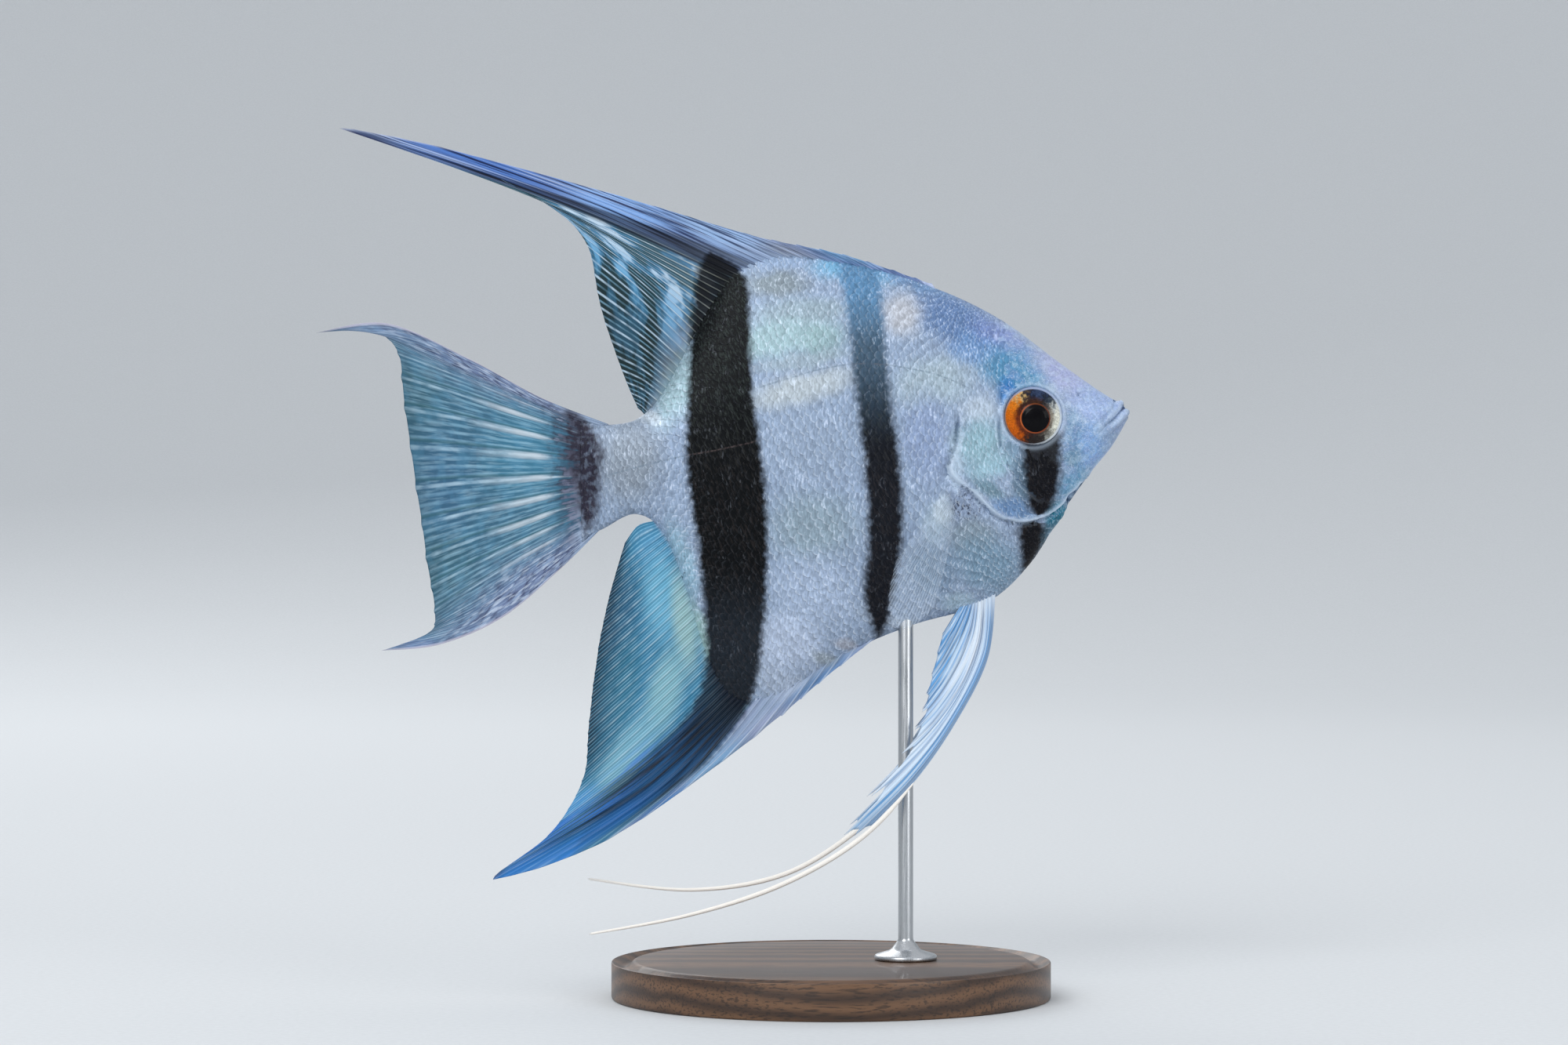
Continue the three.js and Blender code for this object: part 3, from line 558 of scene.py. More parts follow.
def fish_hide():
    """Bare hide: slime-smooth, pearly, with fine pores and blotches. Painted resin."""
    material, tree = bare("pearly_hide")
    place, colour, dark = markings(tree)
    mottle = grain(tree, place, 0.5 * MM)
    colour = toned(tree, colour, amount(tree, (mottle, 0, 1, 0.86, 1.11)))
    veins = node(tree, "Math", (grain(tree, place, 0.6 * MM, -1, 1, 5),), operation="ABSOLUTE")
    clear = amount(tree, (dark, 0, 1, 1, 0.05))
    patches = grain(tree, place, 1.5 * MM, -1, 1)
    colour = coats(
        tree, colour,
        ((patches, 0, 1, 0, 0.24), clear, "#c0d6e6"),
        ((patches, 0, -1, 0, 0.24), clear, "#8694c4"),
        ((veins, 0, 0.22, 0.46, 0), clear, "#d3def0"),
        # Pale edges, with painted highlights on the cheek's ridge, the lips and the socket's rim.
        (node(tree, "Attribute", output="Fac", attribute_name="bright"), 0.7, "#cfe0f2"),
        # Painted shade in the hide's creases, grooves and slits.
        (node(tree, "Attribute", output="Fac", attribute_name="crease"), 0.75, "#35536e"),
    )
    pores = node(tree, "TexVoronoi", {"Vector": place, "Scale": 1 / (0.8 * MM)}, "Distance")
    height = node(tree, "Math", (pores, 0.6, mottle), operation="MULTIPLY_ADD")
    bump = node(tree, "Bump", {"Height": height, "Strength": 0.22, "Distance": 0.1 * MM})
    return finish(material, {
        "Base Color": colour, "Metallic": 0.15, "Roughness": 0.36, "Normal": bump,
        "Specular IOR Level": 0.2, "Coat Weight": 0.1, "Coat Roughness": 0.2,
    })


cap = -np.sin(np.linspace(math.pi / 2, 0, CAP_RINGS, endpoint=False))
head = np.linspace(0, HEAD_STATION, HEAD_RINGS, endpoint=False)
rest = np.linspace(HEAD_STATION, TAIL_END, BODY_RINGS)
stations = np.concatenate([cap, head, rest, [TAIL_END + 1]])
angles = np.linspace(0, 2 * math.pi, RING_SIDES + 1)
places, _, crease, bright = hide(*np.meshgrid(stations, angles, indexing="ij"))
places[:, -1] = places[:, 0]
places[0] = places[0].mean(0)
places[-1] = places[-1].mean(0)
skin = wrapped("skin", places, {"crease": crease, "bright": bright})
skin.data.materials.append(fish_hide())
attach(skin, "root")
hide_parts("head", "lower_jaw", "throat", "trunk", "tail_base")
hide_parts("gill_cover_right", "gill_cover_left")

# ---------------------------------------------------------------- scales
# Thin horny discs that overlap like tiles from head to tail, rooted in the hide and
# lifted a little at their rear edges. They stop short of the snout, the forehead, the
# eye and the gill opening, and are smallest on the cheek and the tail root.
SCALE_PITCH = 1.27  # mm from scale to scale along a row, on the flank
ROW_PITCH = 1.27  # mm from row to row
SCALE_LENGTH = 1.9  # a scale's length as a share of its pitch
SCALE_HALF = 1.1  # and half its height as a share of the row pitch
SCALE_LIFT = 0.09  # height of the free edge over the hide
ALONG = np.array([0, 0.38, 0.64, 0.82, 0.93, 1, 1.02])  # rows of points, root to lip
ACROSS = np.linspace(-1, 1, 6)
SCALE_BEND = 0.42  # how far the free edge is rounded, as a share of the scale's length
SCALE_TUCK = 0.12  # how far the root sinks into the hide, as a share of the lift
SCALE_STRAY = 0.013  # stations by which a scale sits off its place
SCALE_SIZES = (0.92, 1.1)  # smallest and largest beside their neighbours
SCALE_SKEW = 0.08  # how far a scale slants, as a share of its length
FIRST_SCALES = 1.6  # station of the foremost column
BORDER_STRAY = 0.8  # mm by which the scales' border wanders
EYE_MARGIN = 0.9  # mm without scales round the eye
GILL_MARGIN = (-0.6, 1.1)  # and from behind the gill slit to before it
RIDGE_MARGIN = (-0.2, 0.75)  # and on both sides of the cheek's ridge
BAKE_PATCH = 0.003  # a scale's size on the bake map
BARE = [  # outline of the part of the head that has no scales, seen from the side
    (25.5, 40), (26.5, 21), (27.6, 14.8), (26.8, 9.5), (27.4, 4.6), (31, 2.6), (35.5, 1.6),
    (37, -1.5), (37.6, -5), (60, -5), (60, 40),
]
UPPER_LINE = [
    (-12, 12.9), (-6.5, 14.6), (-1.1, 16.1), (5.4, 16.8), (12.5, 16), (18, 14.6), (23, 12.2),
]
LOWER_LINE = [(-36.2, -1), (-25, 1.9), (-17, 3.4), (-10.5, 4.9)]


def inside(x, z, outline):
    """Whether places lie inside a closed outline."""
    odd = np.zeros(np.shape(x), bool)
    for (x0, z0), (x1, z1) in zip(outline, outline[1:] + outline[:1]):
        spans = (z0 > z) != (z1 > z)
        with np.errstate(divide="ignore", invalid="ignore"):
            odd ^= spans & (x < x0 + (z - z0) * (x1 - x0) / (z1 - z0))
    return odd


def pitch(x):
    """Size of the scales along the body, as a share of the flank's."""
    return 1.1 - 0.5 * smooth(x, 12, 23) - 0.3 * smooth(-x, 18, 34)


def scale_roots():
    """Station, angle and size of every scale of one side, in staggered rows."""
    turns = np.linspace(0.02, math.pi - 0.02, 401)
    half_way = len(turns) // 2
    roots = []
    t, column = FIRST_SCALES, 0
    while t < TAIL_END - 0.2:
        ring = flesh(np.full(turns.shape, t), turns)
        steps = np.linalg.norm(np.diff(ring, axis=0), axis=1)
        size = pitch(ring[half_way, 0])
        smaller = 1 - 0.25 * smooth(np.abs(ring[:, 2] + 1), 9, 27)
        run = np.concatenate([[0], np.cumsum(steps / smaller[1:])])
        run -= run[half_way]
        gap = 2 * ROW_PITCH * size
        count = np.arange(math.ceil(run[0] / gap) - 1, math.floor(run[-1] / gap) + 2)
        rows = (count + 0.5 * (column % 2)) * gap
        rows = rows[(rows > run[0]) & (rows < run[-1])]
        shrunk = np.interp(rows, run, smaller)
        roots += list(zip(np.full(rows.shape, t), np.interp(rows, run, turns), size * shrunk))
        behind, ahead = flesh(np.array([t, t + 0.01]), np.full(2, math.pi / 2))
        t += 0.01 * 0.5 * SCALE_PITCH * size / np.linalg.norm(ahead - behind)
        column += 1
    return np.array(roots)


def many(name, places, faces, maps):
    """One mesh of many like flakes, with their maps."""
    mesh = bpy.data.meshes.new(name)
    count, corners = places.shape[:2]
    faces = (np.arange(count)[:, None, None] * corners + faces).reshape(-1, 4)
    mesh.from_pydata(((places + (0, 0, BODY_HEIGHT)) * MM).reshape(-1, 3), [], faces.tolist())
    mapped(mesh, maps)
    piece = bpy.data.objects.new(name, mesh)
    bpy.context.collection.objects.link(piece)
    mesh.shade_smooth()
    return piece


def coat(name, side, material, seed):
    """The scales of one side, each bent to the hide under it."""
    chance = np.random.default_rng(seed)
    t, angle, size = scale_roots().T
    x, _, z = hide(t, angle)[0].T
    gill, gill_share = near(x, z, GILL_EDGE)
    ridge, _ = near(x, z, CHEEK_RIDGE)
    stray = chance.normal(0, BORDER_STRAY, (2, len(t)))
    keep = ~inside(x + stray[0], z + stray[1], BARE)
    keep &= np.hypot(x - EYE_PLACE[0], z - EYE_PLACE[1]) > EYE_RADIUS + EYE_MARGIN
    keep &= ~((gill > GILL_MARGIN[0]) & (gill < GILL_MARGIN[1]) & (gill_share > 0.02))
    keep &= ~((ridge > RIDGE_MARGIN[0]) & (ridge < RIDGE_MARGIN[1]))
    t, angle, size = t[keep], angle[keep], size[keep]
    t = t + chance.normal(0, SCALE_STRAY, t.shape)
    size = size * chance.uniform(*SCALE_SIZES, t.shape)
    tailward, downward = slopes(t, angle)
    speed = np.linalg.norm(tailward, axis=1)
    lean = (downward * tailward).sum(1) / speed
    width = np.sqrt((downward**2).sum(1) - lean**2)
    far, off = (grid.ravel() for grid in np.meshgrid(ALONG, ACROSS, indexing="ij"))
    reach = far * (1 - SCALE_BEND * off**2)
    spread = off * (0.7 + 0.3 * np.sin(math.pi * np.minimum(far, 1)))
    lift = np.where(far > 1, -0.4, far * (1 - 0.35 * off**2) - SCALE_TUCK)
    long = SCALE_PITCH * SCALE_LENGTH * size[:, None] * (reach - 0.4)
    wide = ROW_PITCH * SCALE_HALF * size[:, None] * spread
    wide = wide + long * chance.normal(0, SCALE_SKEW, (len(t), 1))
    turn = wide / width[:, None]
    tailward_share = (long - turn * lean[:, None]) / speed[:, None]
    places, normal, _, _ = hide(t[:, None] + tailward_share, angle[:, None] + turn)
    places = places + normal * (SCALE_LIFT * size[:, None] * lift)[..., None]
    places[..., 1] *= side
    rows, columns = len(ALONG), len(ACROSS)
    first = (np.arange(rows - 1)[:, None] * columns + np.arange(columns - 1)).ravel()
    order = [0, 1, columns + 1, columns] if side > 0 else [0, columns, columns + 1, 1]
    on_hide = np.stack([t / TAIL_END, angle / math.pi], -1)
    patch = np.stack([reach - 0.5, spread / 2], -1) * BAKE_PATCH
    flake = np.stack([spread / 2 + 0.5, far], -1)
    piece = many(name, places, first[:, None] + np.array(order), {
        "OFBake": on_hide[:, None] + patch,
        "Flake": np.broadcast_to(flake, places.shape[:2] + (2,)),
        "tone": np.repeat(chance.uniform(0, 1, len(t)), rows * columns),
    })
    piece.data.materials.append(material)
    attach(piece, "root")


def line_organ(tree, place, points):
    """The row of pores along the side: a thin line that rises and falls along the body."""
    parts = node(tree, "SeparateXYZ", (place,)).node.outputs
    start, end = points[0][0], points[-1][0]
    share = {"Value": parts["X"], "From Min": start * MM, "From Max": end * MM}
    share = node(tree, "MapRange", share, clamp=False)
    height = follow(tree, share, points, start, end - start, 0, HEIGHT_RANGE)
    height = node(tree, "Math", (height, MM, BODY_HEIGHT * MM), operation="MULTIPLY_ADD")
    thin = (apart(tree, parts["Z"], height), 0.06 * MM, 0.2 * MM, 1, 0)
    return amount(tree, thin, (share, -0.03, 0.06), (share, 0.94, 1.03, 1, 0))


def fish_scale():
    """Scales: clear horn over silver, with painted shadow at the root under the scale in front, pale
    along the free edge, and painted glints.
    """
    material, tree = bare("silver_scale")
    place, colour, dark = markings(tree)
    height = node(tree, "SeparateXYZ", (place,), "Z")
    reach = node(tree, "SeparateXYZ", (node(tree, "UVMap", uv_map="Flake"),), "Y")
    tone = node(tree, "Attribute", output="Fac", attribute_name="tone")
    drawn = node(tree, "Mapping", {"Vector": place, "Scale": (1, 1, 0.3)})
    strokes = grain(tree, drawn, 0.3 * MM, 0.8, 1.18)
    # Painted shadow: each scale darker towards its root, where the scale in front lies over it; tone and
    # strokes vary at random.
    light = amount(tree, (tone, 0, 1, 0.93, 1.06), strokes, (reach, 0.4, 0.84, 0.88, 1.03))
    colour = toned(tree, colour, light)
    worn = grain(tree, place, 0.5 * MM)
    seen = amount(tree, (height, 0.06, 0.085, 0.62, 0.42), (dark, 0, 1, 1, 0.5))
    inputs = {"Vector": place, "Rotation": (0, math.radians(-26), 0), "Scale": (1, 1, 5)}
    slanted = node(tree, "Mapping", inputs, vector_type="TEXTURE")
    dash_ink = coats(tree, "#4e4644", ((height, 0.08, 0.1), "#56645f"))
    pore_ink = coats(tree, "#6a7c8c", (dark, "#564a4a"))
    colour = coats(
        tree, colour,
        ((reach, 0.82, 0.93), worn, seen, coats(tree, "#d2deec", (dark, "#474a50"))),
        (grain(tree, slanted, 0.24 * MM, -1.3, 1.2), dark, 0.16, dash_ink),
        # Painted glints: pale specks on a few scales, fewer in the bars.
        ((strokes, 1.1, 1.17), (tone, 0.6, 0.9), (dark, 0, 1, 0.45, 0.05), "#e2ebfa"),
        (line_organ(tree, place, UPPER_LINE), worn, 0.7, pore_ink),
        (line_organ(tree, place, LOWER_LINE), worn, 0.7, pore_ink),
    )
    ridges = grain(tree, place, 0.12 * MM, detail=1)
    bump = node(tree, "Bump", {"Height": ridges, "Strength": 0.2, "Distance": 0.03 * MM})
    return finish(material, {
        "Base Color": colour, "Metallic": 0.2, "Roughness": 0.4, "Normal": bump,
        "Specular IOR Level": 0.08, "Coat Weight": 0.02, "Coat Roughness": 0.15,
    })


scale_horn = fish_scale()
coat("scales_right", -1, scale_horn, 11)
coat("scales_left", 1, scale_horn, 12)

# ---------------------------------------------------------------- fins
# Webs of thin skin spread on horny rays. Each is a closed sleeve, thickest on its rays,
# with its rays and their branches drawn on by the numbers of its Rays map: the ray, and
# the reach from root to tip.
RAY_STEPS = np.array([0, 0.1, 0.22, 0.5, 0.78, 0.9])  # columns from one ray to the next
FIN_RIM = 0.03  # mm, half thickness along a fin's first and last rays
FIN_SWAY = 0.35  # mm by which a fin's outer edge waves
DORSAL_SPINES = [
    (18.1, 27.4, 17, 28.6, 16, 29.9),
    (8.8, 30.6, 5.5, 32.7, 1.9, 34.5),
    (0, 32.4, -6.6, 35.4, -13.8, 37.9),
]
DORSAL_SOFT = [
    (-7.5, 32.6, -20.3, 38.5, -33.8, 43.9),
    (-12.8, 31.2, -35.7, 41.9, -62.5, 51.8),
    (-15.2, 29.5, -43.5, 42.5, -78.8, 54.9),
    (-17, 27, -36.7, 38.3, -57.5, 48.5),
    (-19, 24, -32.2, 34.2, -45, 42.2),
    (-21.2, 20.2, -30.4, 28.9, -39, 36),
    (-23.8, 16, -30.1, 21.4, -36.8, 26),
    (-26.5, 11.8, -29.9, 14.4, -33.4, 16),
    (-29.2, 8.2, -30.1, 9.3, -30.8, 9.9),
]
ANAL_SOFT = [
    (-28, -8, -30.8, -8.8, -32.9, -11.6),
    (-26.4, -10, -30.5, -12.9, -34.3, -16.2),
    (-24.6, -12.4, -30.4, -17.3, -35.9, -22.1),
    (-22.6, -17.4, -30.2, -24.2, -37.5, -30.5),
    (-20.6, -24, -29.8, -32.2, -38.7, -40),
    (-18.6, -30.2, -29.2, -40, -39.7, -49.4),
    (-16.2, -34.8, -29.8, -47.1, -45, -58),
    (-14.4, -36.5, -30.1, -51, -53.8, -65.1),
    (-12.2, -36.2, -22.5, -48.3, -35.5, -58.8),
    (-3.8, -31.9, -7.5, -36.7, -12.2, -42.6),
]
ANAL_SPINES = [
    (3.1, -27.2, 0.9, -30.4, -1.9, -34),
    (9.4, -24.4, 8.5, -25.5, 7.5, -26.4),
]
DORSAL_RAYS = [4, 4, 4, 4, 3, 3, 3, 4, 4, 4, 4]  # rays in each gap of the tables
ANAL_RAYS = [2, 3, 4, 5, 5, 4, 3, 2, 4, 3, 3]
CAUDAL_RAYS = [2] * 8
CAUDAL = [
    (-35.5, 7.4, -46.2, 11.6, -57.9, 17.9, -71, 23.5, -82.5, 22),
    (-35.5, 6.8, -45, 10, -54.4, 14.4, -64, 18.5, -73.8, 22.5),
    (-35.5, 5.5, -44, 8.8, -52.5, 12.2, -61, 15.6, -69.6, 18.8),
    (-35.5, 2.8, -43.8, 4.8, -51.9, 6.6, -60, 8.4, -68.4, 10),
    (-35.5, -0.8, -43.2, -1, -51, -1.5, -58.8, -2, -66.5, -2.8),
    (-35.5, -4.2, -42.9, -6.2, -50.2, -8.8, -57.5, -11.2, -64.9, -14),
    (-35.5, -6.5, -42.5, -10.2, -49.4, -14, -56.4, -18.2, -63.5, -22.5),
    (-35.5, -8, -42.8, -13.2, -50, -18.2, -57.2, -22.8, -64.6, -26),
    (-36.6, -9.2, -43.6, -16.1, -52.5, -23.5, -62.5, -27.8, -72, -28.8),
]


def dorsal_lean(reach, z):
    return 3 * (np.maximum(z - 30, 0) / 25) ** 2


def anal_lean(reach, z):
    return -2.5 * (np.maximum(-25 - z, 0) / 40) ** 2


def caudal_lean(reach, z):
    return 2 * reach**2


def closed(right, left):
    """Rows that run over a fin's right wall and back over its left to where they began."""
    return np.concatenate([right, left[:, ::-1], right[:, :1]], 1)


def sleeve(name, table, rays_per_row, lean, seed, steps=70, web=0.07, ray=0.3, notch=0.01, ragged=0.012):
    """A fin over a table of rays. rays_per_row lists how many rays each gap of it holds.

    notch is how far the web stops short of the tips, for the whole fin or for each gap.
    """
    chance = np.random.default_rng(seed)
    total = sum(rays_per_row)
    rows = [gap + (k + RAY_STEPS) / n for gap, n in enumerate(rays_per_row) for k in range(n)]
    rows = np.append(np.concatenate(rows), len(rays_per_row))
    numbers = np.append(np.add.outer(np.arange(total), RAY_STEPS), total)
    points = along(table, rows).reshape(len(rows), -1, 2).transpose(1, 0, 2)
    on_ray = hump((numbers + 0.5) % 1 - 0.5, 0.13)
    uneven = np.interp(numbers, np.arange(total + 1), chance.uniform(0, 1, total + 1))
    gap = np.minimum(rows.astype(int), len(rays_per_row) - 1)
    end = 1 - np.broadcast_to(notch, len(rays_per_row))[gap] * (1 - on_ray) - ragged * uneven
    reach = np.concatenate([[0], np.linspace(0, 1, steps), [1]])[:, None] * end
    last = len(points) - 1
    index = np.minimum((reach * last).astype(int), last - 1)
    columns = np.arange(len(rows))[None]
    four = [points[np.clip(index + k, 0, last), columns] for k in (-1, 0, 1, 2)]
    x, z = np.moveaxis(between(four, (reach * last - index)[..., None]), -1, 0)
    half = web * (1 - 0.35 * reach) + ray * (1 - 0.72 * reach) * on_ray
    half[:, [0, -1]] = FIN_RIM
    half[[0, -1]] = 0
    sway = FIN_SWAY * reach**2 * np.sin(numbers * 0.9 + reach * 5 + seed)
    middle = lean(reach, z) + sway
    walls = (np.stack([x, middle + side * half, z], -1) for side in (-1, 1))
    row = np.broadcast_to(rows, reach.shape)
    rays = np.stack([np.broadcast_to(numbers, reach.shape), reach], -1)
    return wrapped(name, closed(*walls), {"Rays": closed(rays, rays), "row": closed(row, row)})


def ray_map(tree):
    """A fin's ray map, and from it the ray number, the row of its table and the reach."""
    rays = node(tree, "UVMap", uv_map="Rays")
    parts = node(tree, "SeparateXYZ", (rays,)).node.outputs
    return rays, parts["X"], node(tree, "Attribute", output="Fac", attribute_name="row"), parts["Y"]


def ray_lines(tree, number, reach, splits=1, start=-1.0, thin=0.1, soft=0.14):
    """Lines on the rays, or on the branches that they have split into past a reach."""
    phase = node(tree, "Math", (number, splits, 0.5), operation="MULTIPLY_ADD")
    phase = node(tree, "Math", (phase,), operation="FRACT")
    line = (apart(tree, phase, 0.5), thin, thin + soft, 1, 0)
    return amount(tree, line, (reach, start - 0.1, start + 0.1))


def streaks(tree, rays, across, far, low=0.0, high=1.0):
    """Noise drawn out along the rays, with so many grains to a ray's width and length."""
    drawn = node(tree, "Mapping", {"Vector": rays, "Scale": (across, far, 1)})
    return grain(tree, drawn, 1.0, low, high)


def ridged(material, lines, inputs):
    """Closes a fin's material, its rays raised a little over its web."""
    heights = {"Height": lines, "Strength": 0.45, "Distance": 0.1 * MM}
    bump = node(material.node_tree, "Bump", heights)
    gloss = {"Roughness": 0.4, "Specular IOR Level": 0.15, "Coat Weight": 0.03}
    return finish(material, {"Normal": bump, **gloss, **inputs})


DORSAL_WASHES = [
    ("#72a8d0", 6, 34.2, 9, 1.6, 8, 0.9),  # saddle
    ("#8a92a2", -8, 34.5, 8, 2.2, 15, 0.9),
    ("#9ab8de", -18, 38.5, 9, 3.0, 24, 0.9),
    ("#84aade", -34, 42.5, 11, 3.0, 20, 0.95),
    ("#4a72b8", -56, 49.5, 16, 3, 18, 0.95),
    ("#4a5878", -75, 54, 6, 2, 18, 0.9),
]


def dorsal_skin():
    """Back fin: lilac-blue in front and along its streamer, smoky and clear behind."""
    material, tree = bare("dorsal_web")
    place, body, dark = markings(tree)
    rays, number, row, reach = ray_map(tree)
    rim = amount(tree, (row, 0.05, 0.3, 0.85, 0))
    tip = amount(tree, (reach, 0.93, 0.99, 0, 0.6))
    rim = node(tree, "Math", (rim, tip), operation="MAXIMUM")
    colour = coats(
        tree, washed(tree, place, "#6a80ac", DORSAL_WASHES),
        ((streaks(tree, rays, 2.2, 2.4), 0.42, 0.85), (row, 0.6, 3.6, 0.35, 0.95), "#182650"),
        ((streaks(tree, rays, 3.1, 1.8), 0.6, 1), 0.6, "#b4c6e8"),
        (rim, streaks(tree, rays, 0.6, 6, 0.4, 1), "#cfd8ee"),
    )
    # The smoky rear: blue patches with pale hearts, fine branches and cream rays.
    patches = streaks(tree, rays, 0.34, 6, 0.0, 1.05)
    lines = ray_lines(tree, number, reach, thin=0.05, soft=0.09)
    branches = ray_lines(tree, number, reach, 2, 0.2, 0.07, 0.16)
    broken = streaks(tree, rays, 1.1, 7, 0.25, 1)
    pale = coats(tree, "#c6d9e8", ((row, 6.4, 8.2), "#68a6d0"))
    cream = coats(tree, "#d9dcca", ((reach, 0.1, 0.35), "#cfe2f2"))
    web = coats(
        tree, "#2d4f5a",
        ((row, 6.5, 9), "#172a2e"),
        ((patches, 0.3, 0.7), (row, 7.6, 9.2, 0.9, 0.2), "#427a9e"),
        ((patches, 0.68, 0.95), (row, 7.6, 9.0, 0.9, 0.05), pale),
        (branches, broken, 0.5, "#88b6d0"),
        (lines, broken, (row, 6, 9, 0.95, 0.55), cream),
    )
    behind = node(tree, "Math", (reach, -1.15, row), operation="MULTIPLY_ADD")
    # The dark belt between them, the body's colours over the root, and the wide bar.
    off = apart(tree, row, amount(tree, (reach, 0.1, 0.65, 4.15, 4.75)))
    wide = amount(tree, (reach, 0.1, 0.8, 0.65, 0.12))
    off = node(tree, "Math", (off, wide), operation="SUBTRACT")
    belt = [(off, -0.12, 0.2, 0.97, 0), (reach, 0.02, 0.1), (reach, 0.66, 0.95, 1, 0)]
    front, rear = amount(tree, (row, 2.5, 4.2, 1, 0.25)), amount(tree, (row, 6.8, 8.4, 0, 0.8))
    root = node(tree, "Math", (front, rear), operation="MAXIMUM")
    colour = coats(
        tree, colour,
        ((behind, 4.05, 4.5), web),
        (*belt, streaks(tree, rays, 2.2, 2.2, 0.55, 1), "#0a1020"),
        ((reach, 0.03, 0.4, 1, 0), streaks(tree, rays, 2, 4, 0.6, 1), root, body),
        (dark, (row, 3.0, 4.0), (lines, 0, 1, 0.98, 0.7), "#0d1016"),
    )
    return ridged(material, lines, {"Base Color": colour})


dorsal_notch = [0.12, 0.12, 0.06] + [0.01] * 8
dorsal = sleeve("dorsal_web", DORSAL_SPINES + DORSAL_SOFT, DORSAL_RAYS, dorsal_lean, 3,
                notch=dorsal_notch)
dorsal.data.materials.append(dorsal_skin())
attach(dorsal, "root")
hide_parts("dorsal_fin_spiny", "dorsal_fin_soft")

ANAL_WASHES = [
    ("#589ec6", -28.0, -12, 3.6, 4.5, 0, 0.95),
    ("#78bedc", -27.0, -20, 3.2, 8, -4, 0.85),
    ("#24587a", -33.6, -23, 3.4, 10, 4, 0.85),
    ("#a6cac8", -23.4, -24, 2.2, 9, -6, 0.9),
    ("#90c2cc", -26.4, -35, 3.0, 8, 16, 0.9),
    ("#2f7490", -33.2, -34, 3.0, 9, 8, 0.8),
    ("#86bed2", -32.4, -45, 3.0, 9, 34, 0.9),
    ("#5ea6dc", -40, -54, 5, 3, -40, 0.9),
    ("#3880cc", -48, -60.5, 8, 3, -36, 0.95),
    ("#3f487a", -54.6, -64.6, 3, 1.6, -30, 0.9),
]
FRONT_WASHES = [
    ("#98a2c0", -11, -38, 8, 2.6, -42, 0.95),
    ("#7fa8cc", -19, -46.6, 7, 2.2, -42, 0.9),
    ("#4c7cac", -2, -32.8, 8, 1.2, -38, 0.8),
    ("#4076ae", -27, -54, 6, 2, -40, 0.9),
]


def anal_skin():
    """Belly fin: azure with close pale rays, crossed by the wide bar's navy end."""
    material, tree = bare("anal_web")
    place, body, dark = markings(tree)
    rays, number, row, reach = ray_map(tree)
    lines = ray_lines(tree, number, reach, thin=0.05, soft=0.12)
    branches = ray_lines(tree, number, reach, 3, 0.0, 0.04, 0.24)
    gaps = node(tree, "Math", (1.0, branches), operation="SUBTRACT")
    broken = streaks(tree, rays, 1.3, 10, 0.2, 1)
    front = coats(
        tree, washed(tree, place, "#8e9cba", FRONT_WASHES),
        (streaks(tree, rays, 2.4, 2, -0.3, 0.6), "#4c6e98"),
        (lines, 0.5, "#cdd9e8"),
    )
    root = amount(tree, (reach, 0.02, 0.14, 1, 0))
    ahead = amount(tree, (row, 7.7, 8.6), (reach, 0.3, 0.8, 1, 0))
    root = node(tree, "Math", (root, ahead), operation="MAXIMUM")
    blue = (streaks(tree, rays, 1.8, 3, -0.1, 1), (reach, 0.1, 0.4), "#265684")
    navy = [(row, 5.5, 6.0), (row, 7.8, 8.1, 1, 0), (reach, 0.1, 0.3), (reach, 0.6, 0.95, 1, 0.2)]
    low = [(row, 6.8, 7.2), (row, 7.6, 7.85, 1, 0), (reach, 0.25, 0.6)]
    glint = [(row, 5.2, 5.8), (row, 6.8, 7.1, 1, 0), (reach, 0.25, 0.6)]
    shade = [(row, 5.0, 6.6, 0.9, 1), (row, 7.9, 8.3, 1, 0.6), (branches, 0, 1, 1, 0.9)]
    colour = coats(
        tree, washed(tree, place, "#3d86aa", ANAL_WASHES),
        (gaps, 0.34, "#17435c"),
        (branches, broken, 0.46, "#a4d0e4"),
        (lines, broken, 0.22, "#dcecf2"),
        ((reach, 0.62, 0.98), (row, 4.3, 5.6, 1, 0), (branches, 0, 1, 0.9, 0.5), "#0d2030"),
        (*navy, streaks(tree, rays, 1.5, 2, 0.6, 1), "#0b1a32"),
        (*low, streaks(tree, rays, 1.8, 2.5, 0.35, 1), "#2a74c0"),
        (*glint, streaks(tree, rays, 2.2, 2.5, -0.7, 0.9), "#3674c4"),
        ((row, 7.9, 8.15), front),
        (root, streaks(tree, rays, 2, 4, 0.6, 1), body),
        (dark, *shade, (reach, 0.4, 0.7, 1, 0.25), coats(tree, "#0f1826", blue)),
    )
    return ridged(material, branches, {"Base Color": colour})


anal_notch = [0.01] * 8 + [0.03, 0.1, 0.12]
anal = sleeve("anal_web", ANAL_SOFT + ANAL_SPINES, ANAL_RAYS, anal_lean, 5, notch=anal_notch)
anal.data.materials.append(anal_skin())
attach(anal, "root")
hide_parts("anal_fin_spiny", "anal_fin_soft")

CAUDAL_WASHES = [
    ("#427e9a", -49, 2.5, 7, 8, 0, 0.9),
    ("#40698a", -62, -2, 6, 9, 0, 0.8),
    ("#3d6472", -67, 12, 6, 6, 0, 0.7),
    ("#3a6270", -62, -16, 6, 6, 0, 0.7),
    ("#8296ba", -76, 22.5, 8, 2.0, 5, 0.9),
    ("#6f88bc", -68, -27.6, 6, 1.6, 5, 0.9),
]


